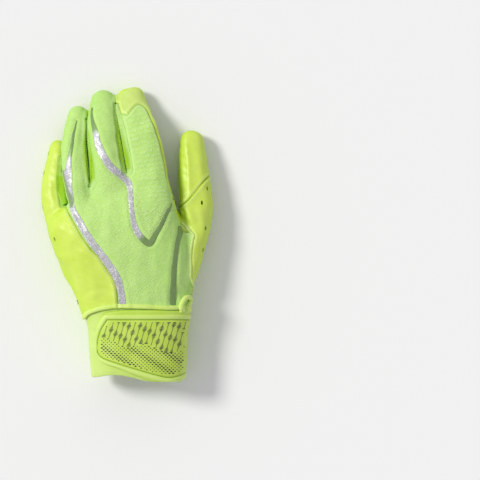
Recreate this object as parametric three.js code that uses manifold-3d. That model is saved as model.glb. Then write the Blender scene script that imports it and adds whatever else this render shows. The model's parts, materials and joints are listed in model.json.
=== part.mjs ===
// Left-hand receiver glove for American football, filled out as if a relaxed hand were inside, lying palm
// down. Millimetres, +Z up, fingers along +Y, thumb on the +X side. The hand is one hollow form, lofted from
// the tables below and cut along its seams into the panels that a real glove is sewn from.
import * as THREE from "three";
import { mergeVertices } from "three/addons/utils/BufferGeometryUtils.js";
import Module from "manifold-3d";

const wasm = await Module();
wasm.setup();

// Driving dimensions
const PALM_LENGTH = 104; // wrist seam to the roots of the fingers
const PALM_WIDTH = 105; // across the knuckles, filled
const PALM_HEIGHT = 48; // floor to the top of the knuckles
const PALM_CORNER = 2.5; // superellipse exponent of the palm: 2 is an oval, higher is boxier
const DIGIT_CORNER = 2.25; // the same for fingers and thumb
const SHELL_WALL = 1.6; // knit or grip fabric with its seam allowance
const SEAM_GAP = 0.3; // between sewn panels, and between layers
const KNUCKLE_RISE = 30; // floor to the middle of the fingers at the knuckles

const CUFF_LENGTH = 62; // tucked end to the opening
const CUFF_TUCK = 16; // how far the cuff reaches inside the hand, past the wrist seam
const CUFF_WIDTH = 75; // at the opening
const CUFF_HEIGHT = 36.5; // at the opening
const CUFF_WALL = 2.4; // neoprene

const STRAP_THICKNESS = 2.2;
const STRAP_RIM_HEIGHT = 1.1; // raised edge round the moulded patch
const PATCH_THICKNESS = 0.9;

const STRIPE_WIDTH = 5.4; // reflective film at its widest
const STRIPE_THICKNESS = 0.5;
const PIPING_WIDTH = 1.5;
const PIPING_HEIGHT = 0.8;
const VENT_LENGTH = 3.2;
const VENT_WIDTH = 1.4;

// Fineness of the lofts
const PALM_SIDES = 24;
const DIGIT_SIDES = 14;
const PALM_STEPS = 7;
const DIGIT_STEPS = 6;
const CUFF_STEPS = 6;
const DOME_STEPS = 3;
const WALL_STEPS = 4; // along the side wall of a finger
const STRIPE_EXTRA_STEPS = 5; // along a stripe, beyond one for each point
const DOME_CLOSE = 0.97; // last ring of a rounded end, share of the way to its point
const TIP_ROOM = 1.12; // how far a cutting box runs on past a fingertip, share of the finger
const SIDE_ROOM = 1.2; // how far it stands out beside a limb, share of the half width
const FLATNESS = 0.16; // facets that differ by less than this are one

// Palm, wrist to knuckles. Lengths are shares: along of the palm's length, shift and wide of its width, top and
// sole of its height. Roll leans the back of the hand towards the thumb and yaw turns the thumb side forward, in
// degrees.
const PALM_ROWS = [
  { along: 0, shift: 0, wide: 0.78, top: 0.875, sole: -0.02, roll: 0, yaw: 0 },
  { along: 0.165, shift: -0.022, wide: 0.84, top: 0.905, sole: -0.03, roll: -1, yaw: 0 },
  { along: 0.35, shift: -0.063, wide: 0.922, top: 0.948, sole: -0.035, roll: -3, yaw: 0 },
  { along: 0.54, shift: -0.111, wide: 0.973, top: 0.99, sole: -0.02, roll: -5, yaw: 1 },
  { along: 0.725, shift: -0.166, wide: 0.985, top: 0.98, sole: 0.05, roll: -7, yaw: 4 },
  { along: 0.87, shift: -0.173, wide: 0.91, top: 0.91, sole: 0.18, roll: -9, yaw: 9 },
  { along: 0.985, shift: -0.125, wide: 0.72, top: 0.81, sole: 0.42, roll: -9, yaw: 13 },
];
const PALM_DOME = 0.1; // rounded front of the palm between the fingers, share of its length

// Digits, root to the start of the rounded tip. along and across are shares of the digit's length, lift is a share
// of the drop from the knuckle to the tip, wide and deep of the digit's width and depth. The root is placed by
// shares of the palm's length and width, and a digit's width is a share of the palm's.
const DIGITS = {
  index: {
    length: 98,
    width: 0.281,
    depth: 20,
    roll: -3,
    root: { along: 0.827, shift: 0.114, rise: 1 },
    rows: [
      { along: 0, across: 0, lift: 1, wide: 1, deep: 1.05 },
      { along: 0.317, across: -0.03, lift: 0.97, wide: 1.02, deep: 0.98 },
      { along: 0.587, across: -0.0875, lift: 0.76, wide: 1, deep: 0.9 },
      { along: 0.762, across: -0.143, lift: 0.4, wide: 0.93, deep: 0.85 },
      { along: 0.896, across: -0.172, lift: 0.08, wide: 0.78, deep: 0.8 },
    ],
  },
  middle: {
    length: 98,
    width: 0.2248,
    depth: 20,
    roll: -4,
    root: { along: 0.803, shift: -0.19, rise: 1.03 },
    rows: [
      { along: 0, across: 0, lift: 1, wide: 1.1, deep: 1.05 },
      { along: 0.22, across: -0.006, lift: 1, wide: 1.14, deep: 1.03 },
      { along: 0.341, across: -0.0225, lift: 0.98, wide: 1.11, deep: 1 },
      { along: 0.596, across: -0.051, lift: 0.8, wide: 0.985, deep: 0.92 },
      { along: 0.786, across: -0.0715, lift: 0.44, wide: 0.87, deep: 0.86 },
      { along: 0.897, across: -0.065, lift: 0.12, wide: 0.79, deep: 0.8 },
    ],
  },
  ring: {
    length: 91,
    width: 0.181,
    depth: 18.5,
    roll: -10,
    root: { along: 0.75, shift: -0.395, rise: 0.93 },
    rows: [
      { along: 0, across: 0, lift: 1, wide: 1, deep: 1.05 },
      { along: 0.15, across: -0.016, lift: 1, wide: 0.98, deep: 1.03 },
      { along: 0.35, across: -0.054, lift: 0.98, wide: 1.05, deep: 1 },
      { along: 0.6, across: -0.0755, lift: 0.82, wide: 1.06, deep: 0.94 },
      { along: 0.76, across: -0.068, lift: 0.54, wide: 0.97, deep: 0.88 },
      { along: 0.893, across: -0.056, lift: 0.18, wide: 0.8, deep: 0.82 },
    ],
  },
  little: {
    length: 106,
    width: 0.1752,
    depth: 16.5,
    roll: -24,
    root: { along: 0.346, shift: -0.438, rise: 0.6 },
    rows: [
      { along: 0, across: 0, lift: 1, wide: 0.9, deep: 1.2 },
      { along: 0.226, across: -0.094, lift: 0.95, wide: 0.97, deep: 1.1 },
      { along: 0.52, across: -0.174, lift: 0.78, wide: 1.02, deep: 1 },
      { along: 0.69, across: -0.18, lift: 0.56, wide: 0.98, deep: 0.95 },
      { along: 0.815, across: -0.161, lift: 0.34, wide: 0.93, deep: 0.9 },
      { along: 0.905, across: -0.149, lift: 0.12, wide: 0.82, deep: 0.84 },
    ],
  },
  thumb: {
    length: 130,
    width: 0.2514,
    depth: 23,
    roll: 8,
    root: { along: 0.192, shift: 0.276, rise: 0.67 },
    rows: [
      { along: 0, across: 0, lift: 1, wide: 0.76, deep: 1.25 },
      { along: 0.206, across: 0.062, lift: 0.95, wide: 0.98, deep: 1.2 },
      { along: 0.386, across: 0.116, lift: 0.8, wide: 0.93, deep: 1.08 },
      { along: 0.536, across: 0.134, lift: 0.64, wide: 1, deep: 1 },
      { along: 0.686, across: 0.122, lift: 0.45, wide: 0.95, deep: 0.95 },
      { along: 0.83, across: 0.112, lift: 0.27, wide: 0.83, deep: 0.9 },
      { along: 0.902, across: 0.11, lift: 0.12, wide: 0.72, deep: 0.82 },
    ],
  },
};

// Cuff, opening to the neck below the tucked end: shares of its length, width and height
const CUFF_ROWS = [
  { along: 0, shift: 0.002, wide: 0.93, high: 0.97 },
  { along: 0.33, shift: -0.003, wide: 0.972, high: 0.99 },
  { along: 0.6, shift: -0.005, wide: 0.992, high: 1 },
  { along: 0.74, shift: -0.004, wide: 1.01, high: 1.02 },
];

// Plan outlines. A point is on a limb: along is the share of its length, across is -1 at its left edge and 1 at its
// right edge as seen from above.
const at = (on, along, across, width = 1) => ({ on, along, across, width });

const WRIST_EDGE = [
  at("palm", 0.008, -1.4),
  at("palm", 0.015, -1.02),
  at("palm", 0.057, -0.85),
  at("palm", 0.09, -0.59),
  at("palm", 0.108, -0.2),
  at("palm", 0.094, 0.62),
  at("palm", 0.097, 1),
  at("palm", 0.097, 1.4),
];
const BACK_LEFT = [
  at("palm", -0.2, -0.31),
  at("palm", 0.12, -0.27),
  at("palm", 0.213, -0.24),
  at("palm", 0.3, -0.22),
  at("palm", 0.378, -0.28),
  at("palm", 0.486, -0.36),
  at("palm", 0.542, -0.44),
  at("palm", 0.637, -0.51),
  at("palm", 0.734, -0.57),
  at("palm", 0.818, -0.67),
  at("palm", 0.87, -0.77),
];
const BACK_FINGERTIPS = [
  at("ring", 0.4, -1.5),
  at("ring", 1.12, -1.5),
  at("middle", 1.12, -1.1),
  at("middle", 1.12, 1.15),
  at("index", 0.79, -1.12),
];
const BACK_INDEX_CAP = [
  at("index", 0.77, -0.34),
  at("index", 0.836, 0.16),
  at("index", 0.856, 0.5),
  at("index", 0.831, 0.8),
  at("index", 0.76, 0.9),
];
const BACK_RIGHT = [
  at("index", 0.587, 0.93),
  at("index", 0.4, 0.93),
  at("index", 0.25, 0.96),
  at("palm", 0.893, 1.05),
  at("palm", 0.823, 1.04),
];
const THUMB_BACK_SEAM = [
  at("palm", 0.746, 1.03),
  at("palm", 0.7, 1.11),
  at("palm", 0.65, 1.16),
  at("palm", 0.616, 1.13),
  at("palm", 0.529, 1.06),
  at("palm", 0.387, 1.02),
  at("palm", 0.342, 1.01),
  at("palm", 0.281, 1.05),
  at("palm", 0.2, 1.05),
];
const BACK_WRIST = at("palm", -0.2, 1.05);
const THUMB_INNER_SEAM = [
  at("palm", -0.2, 0.5),
  at("palm", 0.1, 0.47),
  at("palm", 0.3, 0.4),
  at("palm", 0.5, 0.4),
  at("palm", 0.68, 0.55),
  at("palm", 0.8, 0.8),
  at("palm", 0.878, 1),
];
// Inner edge of the outer side panel on the front of the hand, where it lies under the back panel's edge
const SIDE_EDGE = [
  at("palm", -0.2, 0),
  at("palm", 0.5, 0),
  at("palm", 0.66, -0.3),
  at("ring", 0.1, 0),
  at("ring", 0.3, -0.2),
  at("ring", 0.6, -0.6),
  at("ring", 0.9, -1.1),
  at("ring", 1.12, -1.5),
];
const THUMB_COVER_SEAM = [
  at("thumb", 0.5, -1.6),
  at("thumb", 0.536, -0.94),
  at("thumb", 0.586, -0.34),
  at("thumb", 0.702, 0.75),
  at("thumb", 0.77, 1.5),
];

// Side walls between neighbouring fingers. start and end are shares of the right-hand finger's length, and the
// covers are how much of each half width, and of the half depth above and below the middle, they take.
const FOURCHETTES = [
  { left: "middle", right: "index", start: 0.24, end: 0.86, leftCover: 0.28, rightCover: 0.5, above: 0.62, below: 0.5 },
  { left: "ring", right: "middle", start: 0.22, end: 0.76, leftCover: 0.28, rightCover: 0.28, above: 0.5, below: 0.5 },
  { left: "little", right: "ring", start: 0.03, end: 0.56, leftCover: 0.4, rightCover: 0.3, above: 0.5, below: 0.5 },
];

// Reflective film on the back: points on each stripe's middle line, width as a share of the full stripe
const STRIPES = {
  stripe_outer: [
    at("ring", 0.874, 0.04, 0.16),
    at("ring", 0.806, -0.03, 0.3),
    at("ring", 0.703, -0.17, 0.55),
    at("ring", 0.6, -0.31, 0.8),
    at("ring", 0.531, -0.45, 1),
    at("ring", 0.446, -0.6, 1.35),
    at("ring", 0.291, -0.66, 1),
    at("palm", 0.889, -0.69, 0.7),
    at("palm", 0.81, -0.57, 0.95),
    at("palm", 0.709, -0.46, 1.05),
    at("palm", 0.608, -0.4, 1.05),
    at("palm", 0.486, -0.29, 1.1),
    at("palm", 0.378, -0.2, 1.15),
    at("palm", 0.304, -0.165, 1.1),
    at("palm", 0.213, -0.17, 1.05),
    at("palm", 0.13, -0.195, 1.15),
  ],
  stripe_centre: [
    at("middle", 0.856, -0.86, 0.16),
    at("middle", 0.779, -0.76, 0.4),
    at("middle", 0.643, -0.52, 0.85),
    at("middle", 0.566, -0.42, 1),
    at("middle", 0.473, -0.14, 1.1),
    at("middle", 0.379, 0.24, 1.05),
    at("middle", 0.322, 0.7, 1),
    at("middle", 0.262, 1.1, 0.95),
    at("index", 0.173, -0.98, 0.8),
    at("palm", 0.881, 0.31, 0.76),
    at("palm", 0.761, 0.32, 0.8),
    at("palm", 0.677, 0.34, 0.9),
    at("palm", 0.615, 0.4, 0.95),
    at("palm", 0.591, 0.48, 0.95),
    at("palm", 0.656, 0.6, 0.75),
    at("palm", 0.725, 0.72, 0.65),
    at("palm", 0.813, 0.85, 0.55),
    at("palm", 0.85, 0.91, 0.4),
  ],
  stripe_inner: [
    at("palm", 0.72, 1, 0.45),
    at("palm", 0.663, 0.97, 0.62),
    at("palm", 0.593, 0.89, 0.62),
    at("palm", 0.469, 0.8, 0.7),
    at("palm", 0.328, 0.74, 0.8),
    at("palm", 0.185, 0.71, 0.9),
    at("palm", 0.13, 0.7, 0.9),
  ],
};

// Strap and patch on the cuff: along is a share of the cuff's length up from the wrist seam, so it is negative
const STRAP_TAB = [
  at("cuff", 0.115, -0.66),
  at("cuff", 0.02, -0.76),
  at("cuff", -0.2, -0.81),
  at("cuff", -0.38, -0.81),
  at("cuff", -0.5, -0.7),
  at("cuff", -0.59, -0.29),
  at("cuff", -0.69, 0.1),
  at("cuff", -0.745, 0.43),
  at("cuff", -0.77, 0.75),
  at("cuff", -0.735, 0.98),
  at("cuff", -0.66, 1.1),
];
const PATCH_TAB = [
  at("cuff", 0.035, -0.53),
  at("cuff", -0.12, -0.7),
  at("cuff", -0.315, -0.765),
  at("cuff", -0.43, -0.68),
  at("cuff", -0.52, -0.29),
  at("cuff", -0.59, 0.1),
  at("cuff", -0.645, 0.42),
  at("cuff", -0.68, 0.71),
  at("cuff", -0.65, 0.92),
  at("cuff", -0.58, 1.08),
];
const STRAP_TOP_EDGE = 0.125; // shares of the cuff's length, as above
const PATCH_TOP_EDGE = 0.035;
const STRAP_UNDER = { top: 0.11, bottom: -0.6, anchor: 0.1 }; // anchor is across the sole side
const CUFF_OPENING_EDGE = [
  at("cuff", -0.7, -1.5),
  at("cuff", -0.69, -0.93),
  at("cuff", -0.665, -0.66),
  at("cuff", -0.66, -0.38),
  at("cuff", -0.69, -0.07),
  at("cuff", -0.735, 0.28),
  at("cuff", -0.745, 0.8),
  at("cuff", -0.745, 1.5),
];

// Breathing slots, each cut straight out through the wall; turn is degrees round the section from its right edge
const VENTS = [
  { on: "thumb", along: 0.632, turn: 50 },
  { on: "thumb", along: 0.552, turn: 78 },
  { on: "thumb", along: 0.416, turn: 54 },
  { on: "thumb", along: 0.302, turn: 36 },
  { on: "little", along: 0.89, turn: 140 },
  { on: "little", along: 0.742, turn: 138 },
  { on: "little", along: 0.52, turn: 150 },
  { on: "palm", along: 0.638, turn: 164 },
];

// Smooth curve through one column of a table, read at any share along it
function column(rows, name) {
  const stops = rows.map((row) => row.along);
  const values = rows.map((row) => row[name]);
  const last = stops.length - 1;
  const slopes = values.map((_, i) => {
    const before = Math.max(i - 1, 0);
    const after = Math.min(i + 1, last);
    return (values[after] - values[before]) / (stops[after] - stops[before]);
  });
  return (along) => {
    if (along <= stops[0]) return values[0] + slopes[0] * (along - stops[0]);
    if (along >= stops[last]) return values[last] + slopes[last] * (along - stops[last]);
    const i = stops.findIndex((stop) => stop > along) - 1;
    const span = stops[i + 1] - stops[i];
    const u = (along - stops[i]) / span;
    const rise = u * u * (3 - 2 * u);
    const lead = u * (1 - u) * (1 - u) * span * slopes[i];
    const trail = u * u * (u - 1) * span * slopes[i + 1];
    return values[i] * (1 - rise) + values[i + 1] * rise + lead + trail;
  };
}

// Reader for a whole table: share along it to an object with every column
function reader(rows) {
  const names = Object.keys(rows[0]).filter((name) => name !== "along");
  const columns = names.map((name) => [name, column(rows, name)]);
  return (along) => Object.fromEntries(columns.map(([name, read]) => [name, read(along)]));
}

const radians = THREE.MathUtils.degToRad;
const UP = new THREE.Vector3(0, 0, 1);

// Frame of a cross-section: where it is, which way it faces and its half sizes
function section(centre, forward, rollDegrees, halfWidth, halfHeight) {
  const side = new THREE.Vector3().crossVectors(forward, UP).normalize();
  const up = new THREE.Vector3().crossVectors(side, forward).normalize();
  const roll = radians(rollDegrees);
  const rolledSide = side.clone().multiplyScalar(Math.cos(roll)).addScaledVector(up, -Math.sin(roll));
  const rolledUp = up.clone().multiplyScalar(Math.cos(roll)).addScaledVector(side, Math.sin(roll));
  return { centre, forward: forward.clone().normalize(), side: rolledSide, up: rolledUp, halfWidth, halfHeight };
}

const readPalm = reader(PALM_ROWS);

function palmSection(along) {
  const row = readPalm(along);
  const middle = ((row.top + row.sole) / 2) * PALM_HEIGHT;
  const centre = new THREE.Vector3(row.shift * PALM_WIDTH, along * PALM_LENGTH, middle);
  const yaw = radians(row.yaw);
  const forward = new THREE.Vector3(-Math.sin(yaw), Math.cos(yaw), 0);
  const halfHeight = ((row.top - row.sole) / 2) * PALM_HEIGHT;
  return section(centre, forward, row.roll, (row.wide / 2) * PALM_WIDTH, halfHeight);
}

const digitReaders = Object.fromEntries(Object.entries(DIGITS).map(([name, digit]) => [name, reader(digit.rows)]));

function digitCentre(name, along) {
  const digit = DIGITS[name];
  const row = digitReaders[name](along);
  const rootHeight = digit.root.rise * KNUCKLE_RISE;
  const tipHeight = (digit.rows.at(-1).deep * digit.depth) / 2 - SEAM_GAP;
  return new THREE.Vector3(
    digit.root.shift * PALM_WIDTH + row.across * digit.length,
    digit.root.along * PALM_LENGTH + along * digit.length,
    tipHeight + row.lift * (rootHeight - tipHeight),
  );
}

function digitSection(name, along) {
  const digit = DIGITS[name];
  const row = digitReaders[name](along);
  const nearby = 0.01;
  const forward = digitCentre(name, along + nearby).sub(digitCentre(name, along - nearby));
  const halfWidth = (row.wide * digit.width * PALM_WIDTH) / 2;
  return section(digitCentre(name, along), forward, digit.roll, halfWidth, (row.deep * digit.depth) / 2);
}

// The cuff runs up from its opening. Its tucked end follows the inside of the hand.
const CUFF_FLOOR = STRAP_THICKNESS + STRAP_RIM_HEIGHT; // the strap passes under the cuff
const CUFF_FIT = 0.82; // share along the cuff where it meets the hand's size
const CUFF_START = CUFF_TUCK - CUFF_LENGTH; // y of the opening
const readCuff = reader(CUFF_ROWS);

function cuffSection(along) {
  const y = CUFF_START + along * CUFF_LENGTH;
  const forward = new THREE.Vector3(0, 1, 0);
  if (along >= CUFF_FIT) {
    const hand = palmSection(y / PALM_LENGTH);
    const inset = SHELL_WALL + SEAM_GAP;
    const { roll } = readPalm(y / PALM_LENGTH);
    return section(hand.centre, forward, roll, hand.halfWidth - inset, hand.halfHeight - inset);
  }
  const row = readCuff(along);
  const halfHeight = (row.high * CUFF_HEIGHT) / 2;
  const centre = new THREE.Vector3(row.shift * CUFF_WIDTH, y, CUFF_FLOOR + halfHeight);
  return section(centre, forward, 0, (row.wide * CUFF_WIDTH) / 2, halfHeight);
}

const lastShare = (rows) => rows.at(-1).along;
const limbs = {
  palm: {
    section: palmSection,
    end: lastShare(PALM_ROWS),
    dome: PALM_DOME * PALM_LENGTH,
    corner: PALM_CORNER,
    sides: PALM_SIDES,
    steps: PALM_STEPS,
  },
  cuff: { section: cuffSection, end: 1, dome: 0, corner: PALM_CORNER, sides: PALM_SIDES, steps: CUFF_STEPS },
};
for (const [name, digit] of Object.entries(DIGITS)) {
  limbs[name] = {
    section: (along) => digitSection(name, along),
    end: lastShare(digit.rows),
    dome: (1 - lastShare(digit.rows)) * digit.length,
    corner: DIGIT_CORNER,
    sides: DIGIT_SIDES,
    steps: DIGIT_STEPS,
  };
}

// Point of a section's frame, right and up from its centre
function inFrame(frame, right, up) {
  return frame.centre.clone().addScaledVector(frame.side, right).addScaledVector(frame.up, up);
}

const bent = (value, corner) => Math.sign(value) * Math.abs(value) ** (2 / corner);

function ovalRing(frame, corner, sides, grow, scale = 1) {
  return Array.from({ length: sides }, (_, i) => {
    const angle = (2 * Math.PI * i) / sides;
    const right = bent(Math.cos(angle), corner) * (frame.halfWidth + grow) * scale;
    return inFrame(frame, right, bent(Math.sin(angle), corner) * (frame.halfHeight + grow) * scale);
  });
}

// Closed solid through rings of points that all turn from the right side upwards
function loft(rings) {
  const sides = rings[0].length;
  const centre = (ring) => ring.reduce((sum, p) => sum.add(p), new THREE.Vector3()).divideScalar(sides);
  const points = [...rings.flat(), centre(rings[0]), centre(rings.at(-1))];
  const startCentre = points.length - 2;
  const endCentre = points.length - 1;
  const lastRing = (rings.length - 1) * sides;
  const faces = [];
  for (let j = 0; j < sides; j++) {
    const next = (j + 1) % sides;
    faces.push(startCentre, j, next);
    faces.push(endCentre, lastRing + next, lastRing + j);
    for (let i = 0; i < rings.length - 1; i++) {
      const near = i * sides;
      const far = near + sides;
      faces.push(near + j, far + j, near + next);
      faces.push(far + j, far + next, near + next);
    }
  }
  const vertProperties = new Float32Array(points.flatMap((p) => p.toArray()));
  return new wasm.Manifold(new wasm.Mesh({ numProp: 3, vertProperties, triVerts: new Uint32Array(faces) }));
}

// A limb grown outwards by a few tenths, or inwards by its wall; lead carries it on past its first section
function limbSolid(name, grow, lead = 0) {
  const limb = limbs[name];
  const { corner, sides } = limb;
  const rings = [];
  if (lead) {
    const frame = limb.section(0);
    frame.centre.addScaledVector(frame.forward, -lead);
    rings.push(ovalRing(frame, corner, sides, grow));
  }
  for (let i = 0; i <= limb.steps; i++) {
    rings.push(ovalRing(limb.section((limb.end * i) / limb.steps), corner, sides, grow));
  }
  if (limb.dome) {
    const frame = limb.section(limb.end);
    const root = frame.centre.clone();
    for (let i = 1; i <= DOME_STEPS; i++) {
      const angle = (DOME_CLOSE * Math.PI * i) / (2 * DOME_STEPS);
      const forward = bent(Math.sin(angle), corner) * (limb.dome + grow);
      frame.centre.copy(root).addScaledVector(frame.forward, forward);
      rings.push(ovalRing(frame, corner, sides, grow, bent(Math.cos(angle), corner)));
    }
  }
  return loft(rings);
}

// Upper half of a limb with room around it, lowered and widened by grow
function upperHalf(name, grow = 0) {
  const limb = limbs[name];
  const rings = [];
  const end = name === "palm" ? limb.end : TIP_ROOM;
  for (let i = 0; i <= limb.steps + 1; i++) {
    const frame = limb.section((end * i) / (limb.steps + 1));
    if (i === 0) frame.centre.addScaledVector(frame.forward, -CUFF_LENGTH / 2);
    const wide = frame.halfWidth * SIDE_ROOM + grow;
    rings.push([
      inFrame(frame, wide, -grow),
      inFrame(frame, wide, PALM_HEIGHT),
      inFrame(frame, -wide, PALM_HEIGHT),
      inFrame(frame, -wide, -grow),
    ]);
  }
  return loft(rings);
}

function solidOf(geometry) {
  geometry.deleteAttribute("normal");
  geometry.deleteAttribute("uv");
  const merged = mergeVertices(geometry, 1e-4);
  const mesh = new wasm.Mesh({
    numProp: 3,
    vertProperties: new Float32Array(merged.attributes.position.array),
    triVerts: new Uint32Array(merged.index.array),
  });
  return new wasm.Manifold(mesh);
}

// Plan position of an outline point
function place(point) {
  const fromOpening = point.along - CUFF_START / CUFF_LENGTH;
  const frame = limbs[point.on].section(point.on === "cuff" ? fromOpening : point.along);
  return new THREE.Vector2(frame.centre.x + point.across * frame.halfWidth, frame.centre.y);
}

const smooth = (points, steps) => new THREE.SplineCurve(points.map(place)).getPoints(steps);

const normalAt = (points, i, closed) => {
  const count = points.length;
  const before = closed ? points[(i + count - 1) % count] : points[Math.max(i - 1, 0)];
  const after = closed ? points[(i + 1) % count] : points[Math.min(i + 1, count - 1)];
  const along = after.clone().sub(before).normalize();
  return new THREE.Vector2(along.y, -along.x);
};

// Upright prism over a plan outline, its edge moved outwards by grow
function prism(outline, grow = 0, low = -PALM_HEIGHT / 4, high = PALM_HEIGHT * 1.5) {
  const turn = THREE.ShapeUtils.isClockWise(outline) ? -1 : 1;
  const edge = outline.map((p, i) => p.clone().addScaledVector(normalAt(outline, i, true), turn * grow));
  const geometry = new THREE.ExtrudeGeometry(new THREE.Shape(edge), { depth: high - low, bevelEnabled: false });
  geometry.translate(0, 0, low);
  return solidOf(geometry);
}

// Outline of a ribbon of varying width along a line
function ribbon(points, fullWidth, steps) {
  const line = smooth(points, steps);
  const width = new THREE.SplineCurve(points.map((p, i) => new THREE.Vector2(i, p.width))).getPoints(steps);
  const edge = (side) =>
    line.map((p, i) => p.clone().addScaledVector(normalAt(line, i, false), (side * fullWidth * width[i].y) / 2));
  return [...edge(1), ...edge(-1).reverse()];
}

const join = (solids) => solids.reduce((all, solid) => all.add(solid));
const take = (solid, cutters) => cutters.reduce((rest, cutter) => rest.subtract(cutter), solid);

// Cutting can leave crumbs at a seam's end; a panel is its largest body
function panel(solid) {
  const bodies = solid.simplify(FLATNESS).decompose();
  return bodies.reduce((best, body) => (body.volume() > best.volume() ? body : best));
}

const everywhere = 4 * (PALM_LENGTH + CUFF_LENGTH);
const beyondFingers = PALM_LENGTH + DIGITS.index.length;

function above(height) {
  const box = new THREE.BoxGeometry(everywhere, everywhere, everywhere);
  box.translate(0, 0, height + everywhere / 2);
  return solidOf(box);
}

const HAND = ["palm", ...Object.keys(DIGITS)];

function handForm(grow, lead) {
  return join(HAND.map((name) => limbSolid(name, grow, name === "palm" ? lead : 0)));
}

function ventCutter({ on, along, turn }) {
  const frame = limbs[on].section(along);
  const angle = radians(turn);
  const right = bent(Math.cos(angle), limbs[on].corner) * frame.halfWidth;
  const up = bent(Math.sin(angle), limbs[on].corner) * frame.halfHeight;
  const middle = inFrame(frame, right, up);
  const outward = frame.side.clone().multiplyScalar(Math.cos(angle)).addScaledVector(frame.up, Math.sin(angle));
  const across = new THREE.Vector3().crossVectors(outward, frame.forward);
  const slot = new THREE.CylinderGeometry(0.5, 0.5, SHELL_WALL * 5, 6);
  slot.scale(VENT_WIDTH, 1, VENT_LENGTH);
  slot.applyMatrix4(new THREE.Matrix4().makeBasis(across, outward, frame.forward).setPosition(middle));
  return solidOf(slot);
}

// The hollow hand, open at the wrist and flat where it lies on the floor
const wristEdge = smooth(WRIST_EDGE, 14);
const handSide = prism([
  ...wristEdge,
  new THREE.Vector2(everywhere / 2, wristEdge.at(-1).y),
  new THREE.Vector2(everywhere / 2, everywhere / 2),
  new THREE.Vector2(-everywhere / 2, everywhere / 2),
  new THREE.Vector2(-everywhere / 2, wristEdge[0].y),
]);
const outerForm = handForm(0, CUFF_LENGTH / 4).intersect(above(0));
const innerForm = handForm(-SHELL_WALL, CUFF_LENGTH / 2).intersect(above(SHELL_WALL));
const handShell = take(outerForm.subtract(innerForm).intersect(handSide), VENTS.map(ventCutter));

// Side walls of the fingers
function fourchetteBox(pair, grow) {
  const rings = [];
  const right = DIGITS[pair.right];
  const left = DIGITS[pair.left];
  for (let i = 0; i <= WALL_STEPS; i++) {
    const share = pair.start + ((pair.end - pair.start) * i) / WALL_STEPS;
    const rightFrame = digitSection(pair.right, share);
    const leftShare = (rightFrame.centre.y - left.root.along * PALM_LENGTH) / left.length;
    const leftFrame = digitSection(pair.left, leftShare);
    const slide = i === 0 ? -grow : i === WALL_STEPS ? grow : 0;
    const across = rightFrame.centre.clone().sub(leftFrame.centre).normalize();
    const up = new THREE.Vector3(-across.z, 0, across.x);
    const rightEdge = (pair.rightCover - 1) * rightFrame.halfWidth + grow;
    const leftEdge = (1 - pair.leftCover) * leftFrame.halfWidth - grow;
    const top = pair.above * leftFrame.halfHeight + grow;
    const bottom = -pair.below * leftFrame.halfHeight - grow;
    const corner = (frame, edge, height) => {
      const point = frame.centre.clone().addScaledVector(across, edge).addScaledVector(up, height);
      point.y += slide;
      return point;
    };
    rings.push([
      corner(rightFrame, rightEdge, bottom),
      corner(rightFrame, rightEdge, top),
      corner(leftFrame, leftEdge, top),
      corner(leftFrame, leftEdge, bottom),
    ]);
  }
  return loft(rings);
}

// Back panel: inside its plan outline and above the middle of the palm and of its three fingers
const backOutline = [
  ...smooth(BACK_LEFT, 12),
  ...BACK_FINGERTIPS.map(place),
  ...smooth([...BACK_INDEX_CAP, ...BACK_RIGHT, ...THUMB_BACK_SEAM, BACK_WRIST], 23),
];
const backLimbs = ["palm", "index", "middle", "ring"];
const backRegion = (grow) =>
  prism(backOutline, grow).intersect(join(backLimbs.map((name) => upperHalf(name, grow))));

// Line half way between the index and the thumb, from the crotch forwards
function betweenIndexAndThumb() {
  const thumb = DIGITS.thumb;
  return [0.6, 0.72, 0.84, 0.96, 1.08].map((share) => {
    const thumbFrame = digitSection("thumb", share);
    const indexShare = (thumbFrame.centre.y - DIGITS.index.root.along * PALM_LENGTH) / DIGITS.index.length;
    const indexFrame = digitSection("index", indexShare);
    const thumbEdge = thumbFrame.centre.x - thumbFrame.halfWidth;
    const indexEdge = indexFrame.centre.x + indexFrame.halfWidth;
    return new THREE.Vector2((thumbEdge + indexEdge) / 2, thumbFrame.centre.y);
  });
}

const thumbOutline = [
  ...smooth(THUMB_INNER_SEAM, 16),
  ...betweenIndexAndThumb(),
  new THREE.Vector2(everywhere / 3, beyondFingers),
  new THREE.Vector2(everywhere / 3, -CUFF_LENGTH / 3),
];
const coverSeam = smooth(THUMB_COVER_SEAM, 12);
const coverOutline = [
  ...coverSeam,
  new THREE.Vector2(everywhere / 3, coverSeam.at(-1).y),
  new THREE.Vector2(everywhere / 3, beyondFingers),
  new THREE.Vector2(betweenIndexAndThumb().at(-1).x, beyondFingers),
];
const sideOutline = [
  ...SIDE_EDGE.map(place),
  new THREE.Vector2(-everywhere / 3, beyondFingers),
  new THREE.Vector2(-everywhere / 3, -CUFF_LENGTH / 3),
];
const thumbRegion = (grow) => prism(thumbOutline, grow);
const sideRegion = (grow) =>
  prism(sideOutline, grow).intersect(join(["palm", "little"].map((name) => upperHalf(name, grow))));
const coverRegion = (grow) => prism(coverOutline, grow).intersect(prism(thumbOutline, grow));

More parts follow.
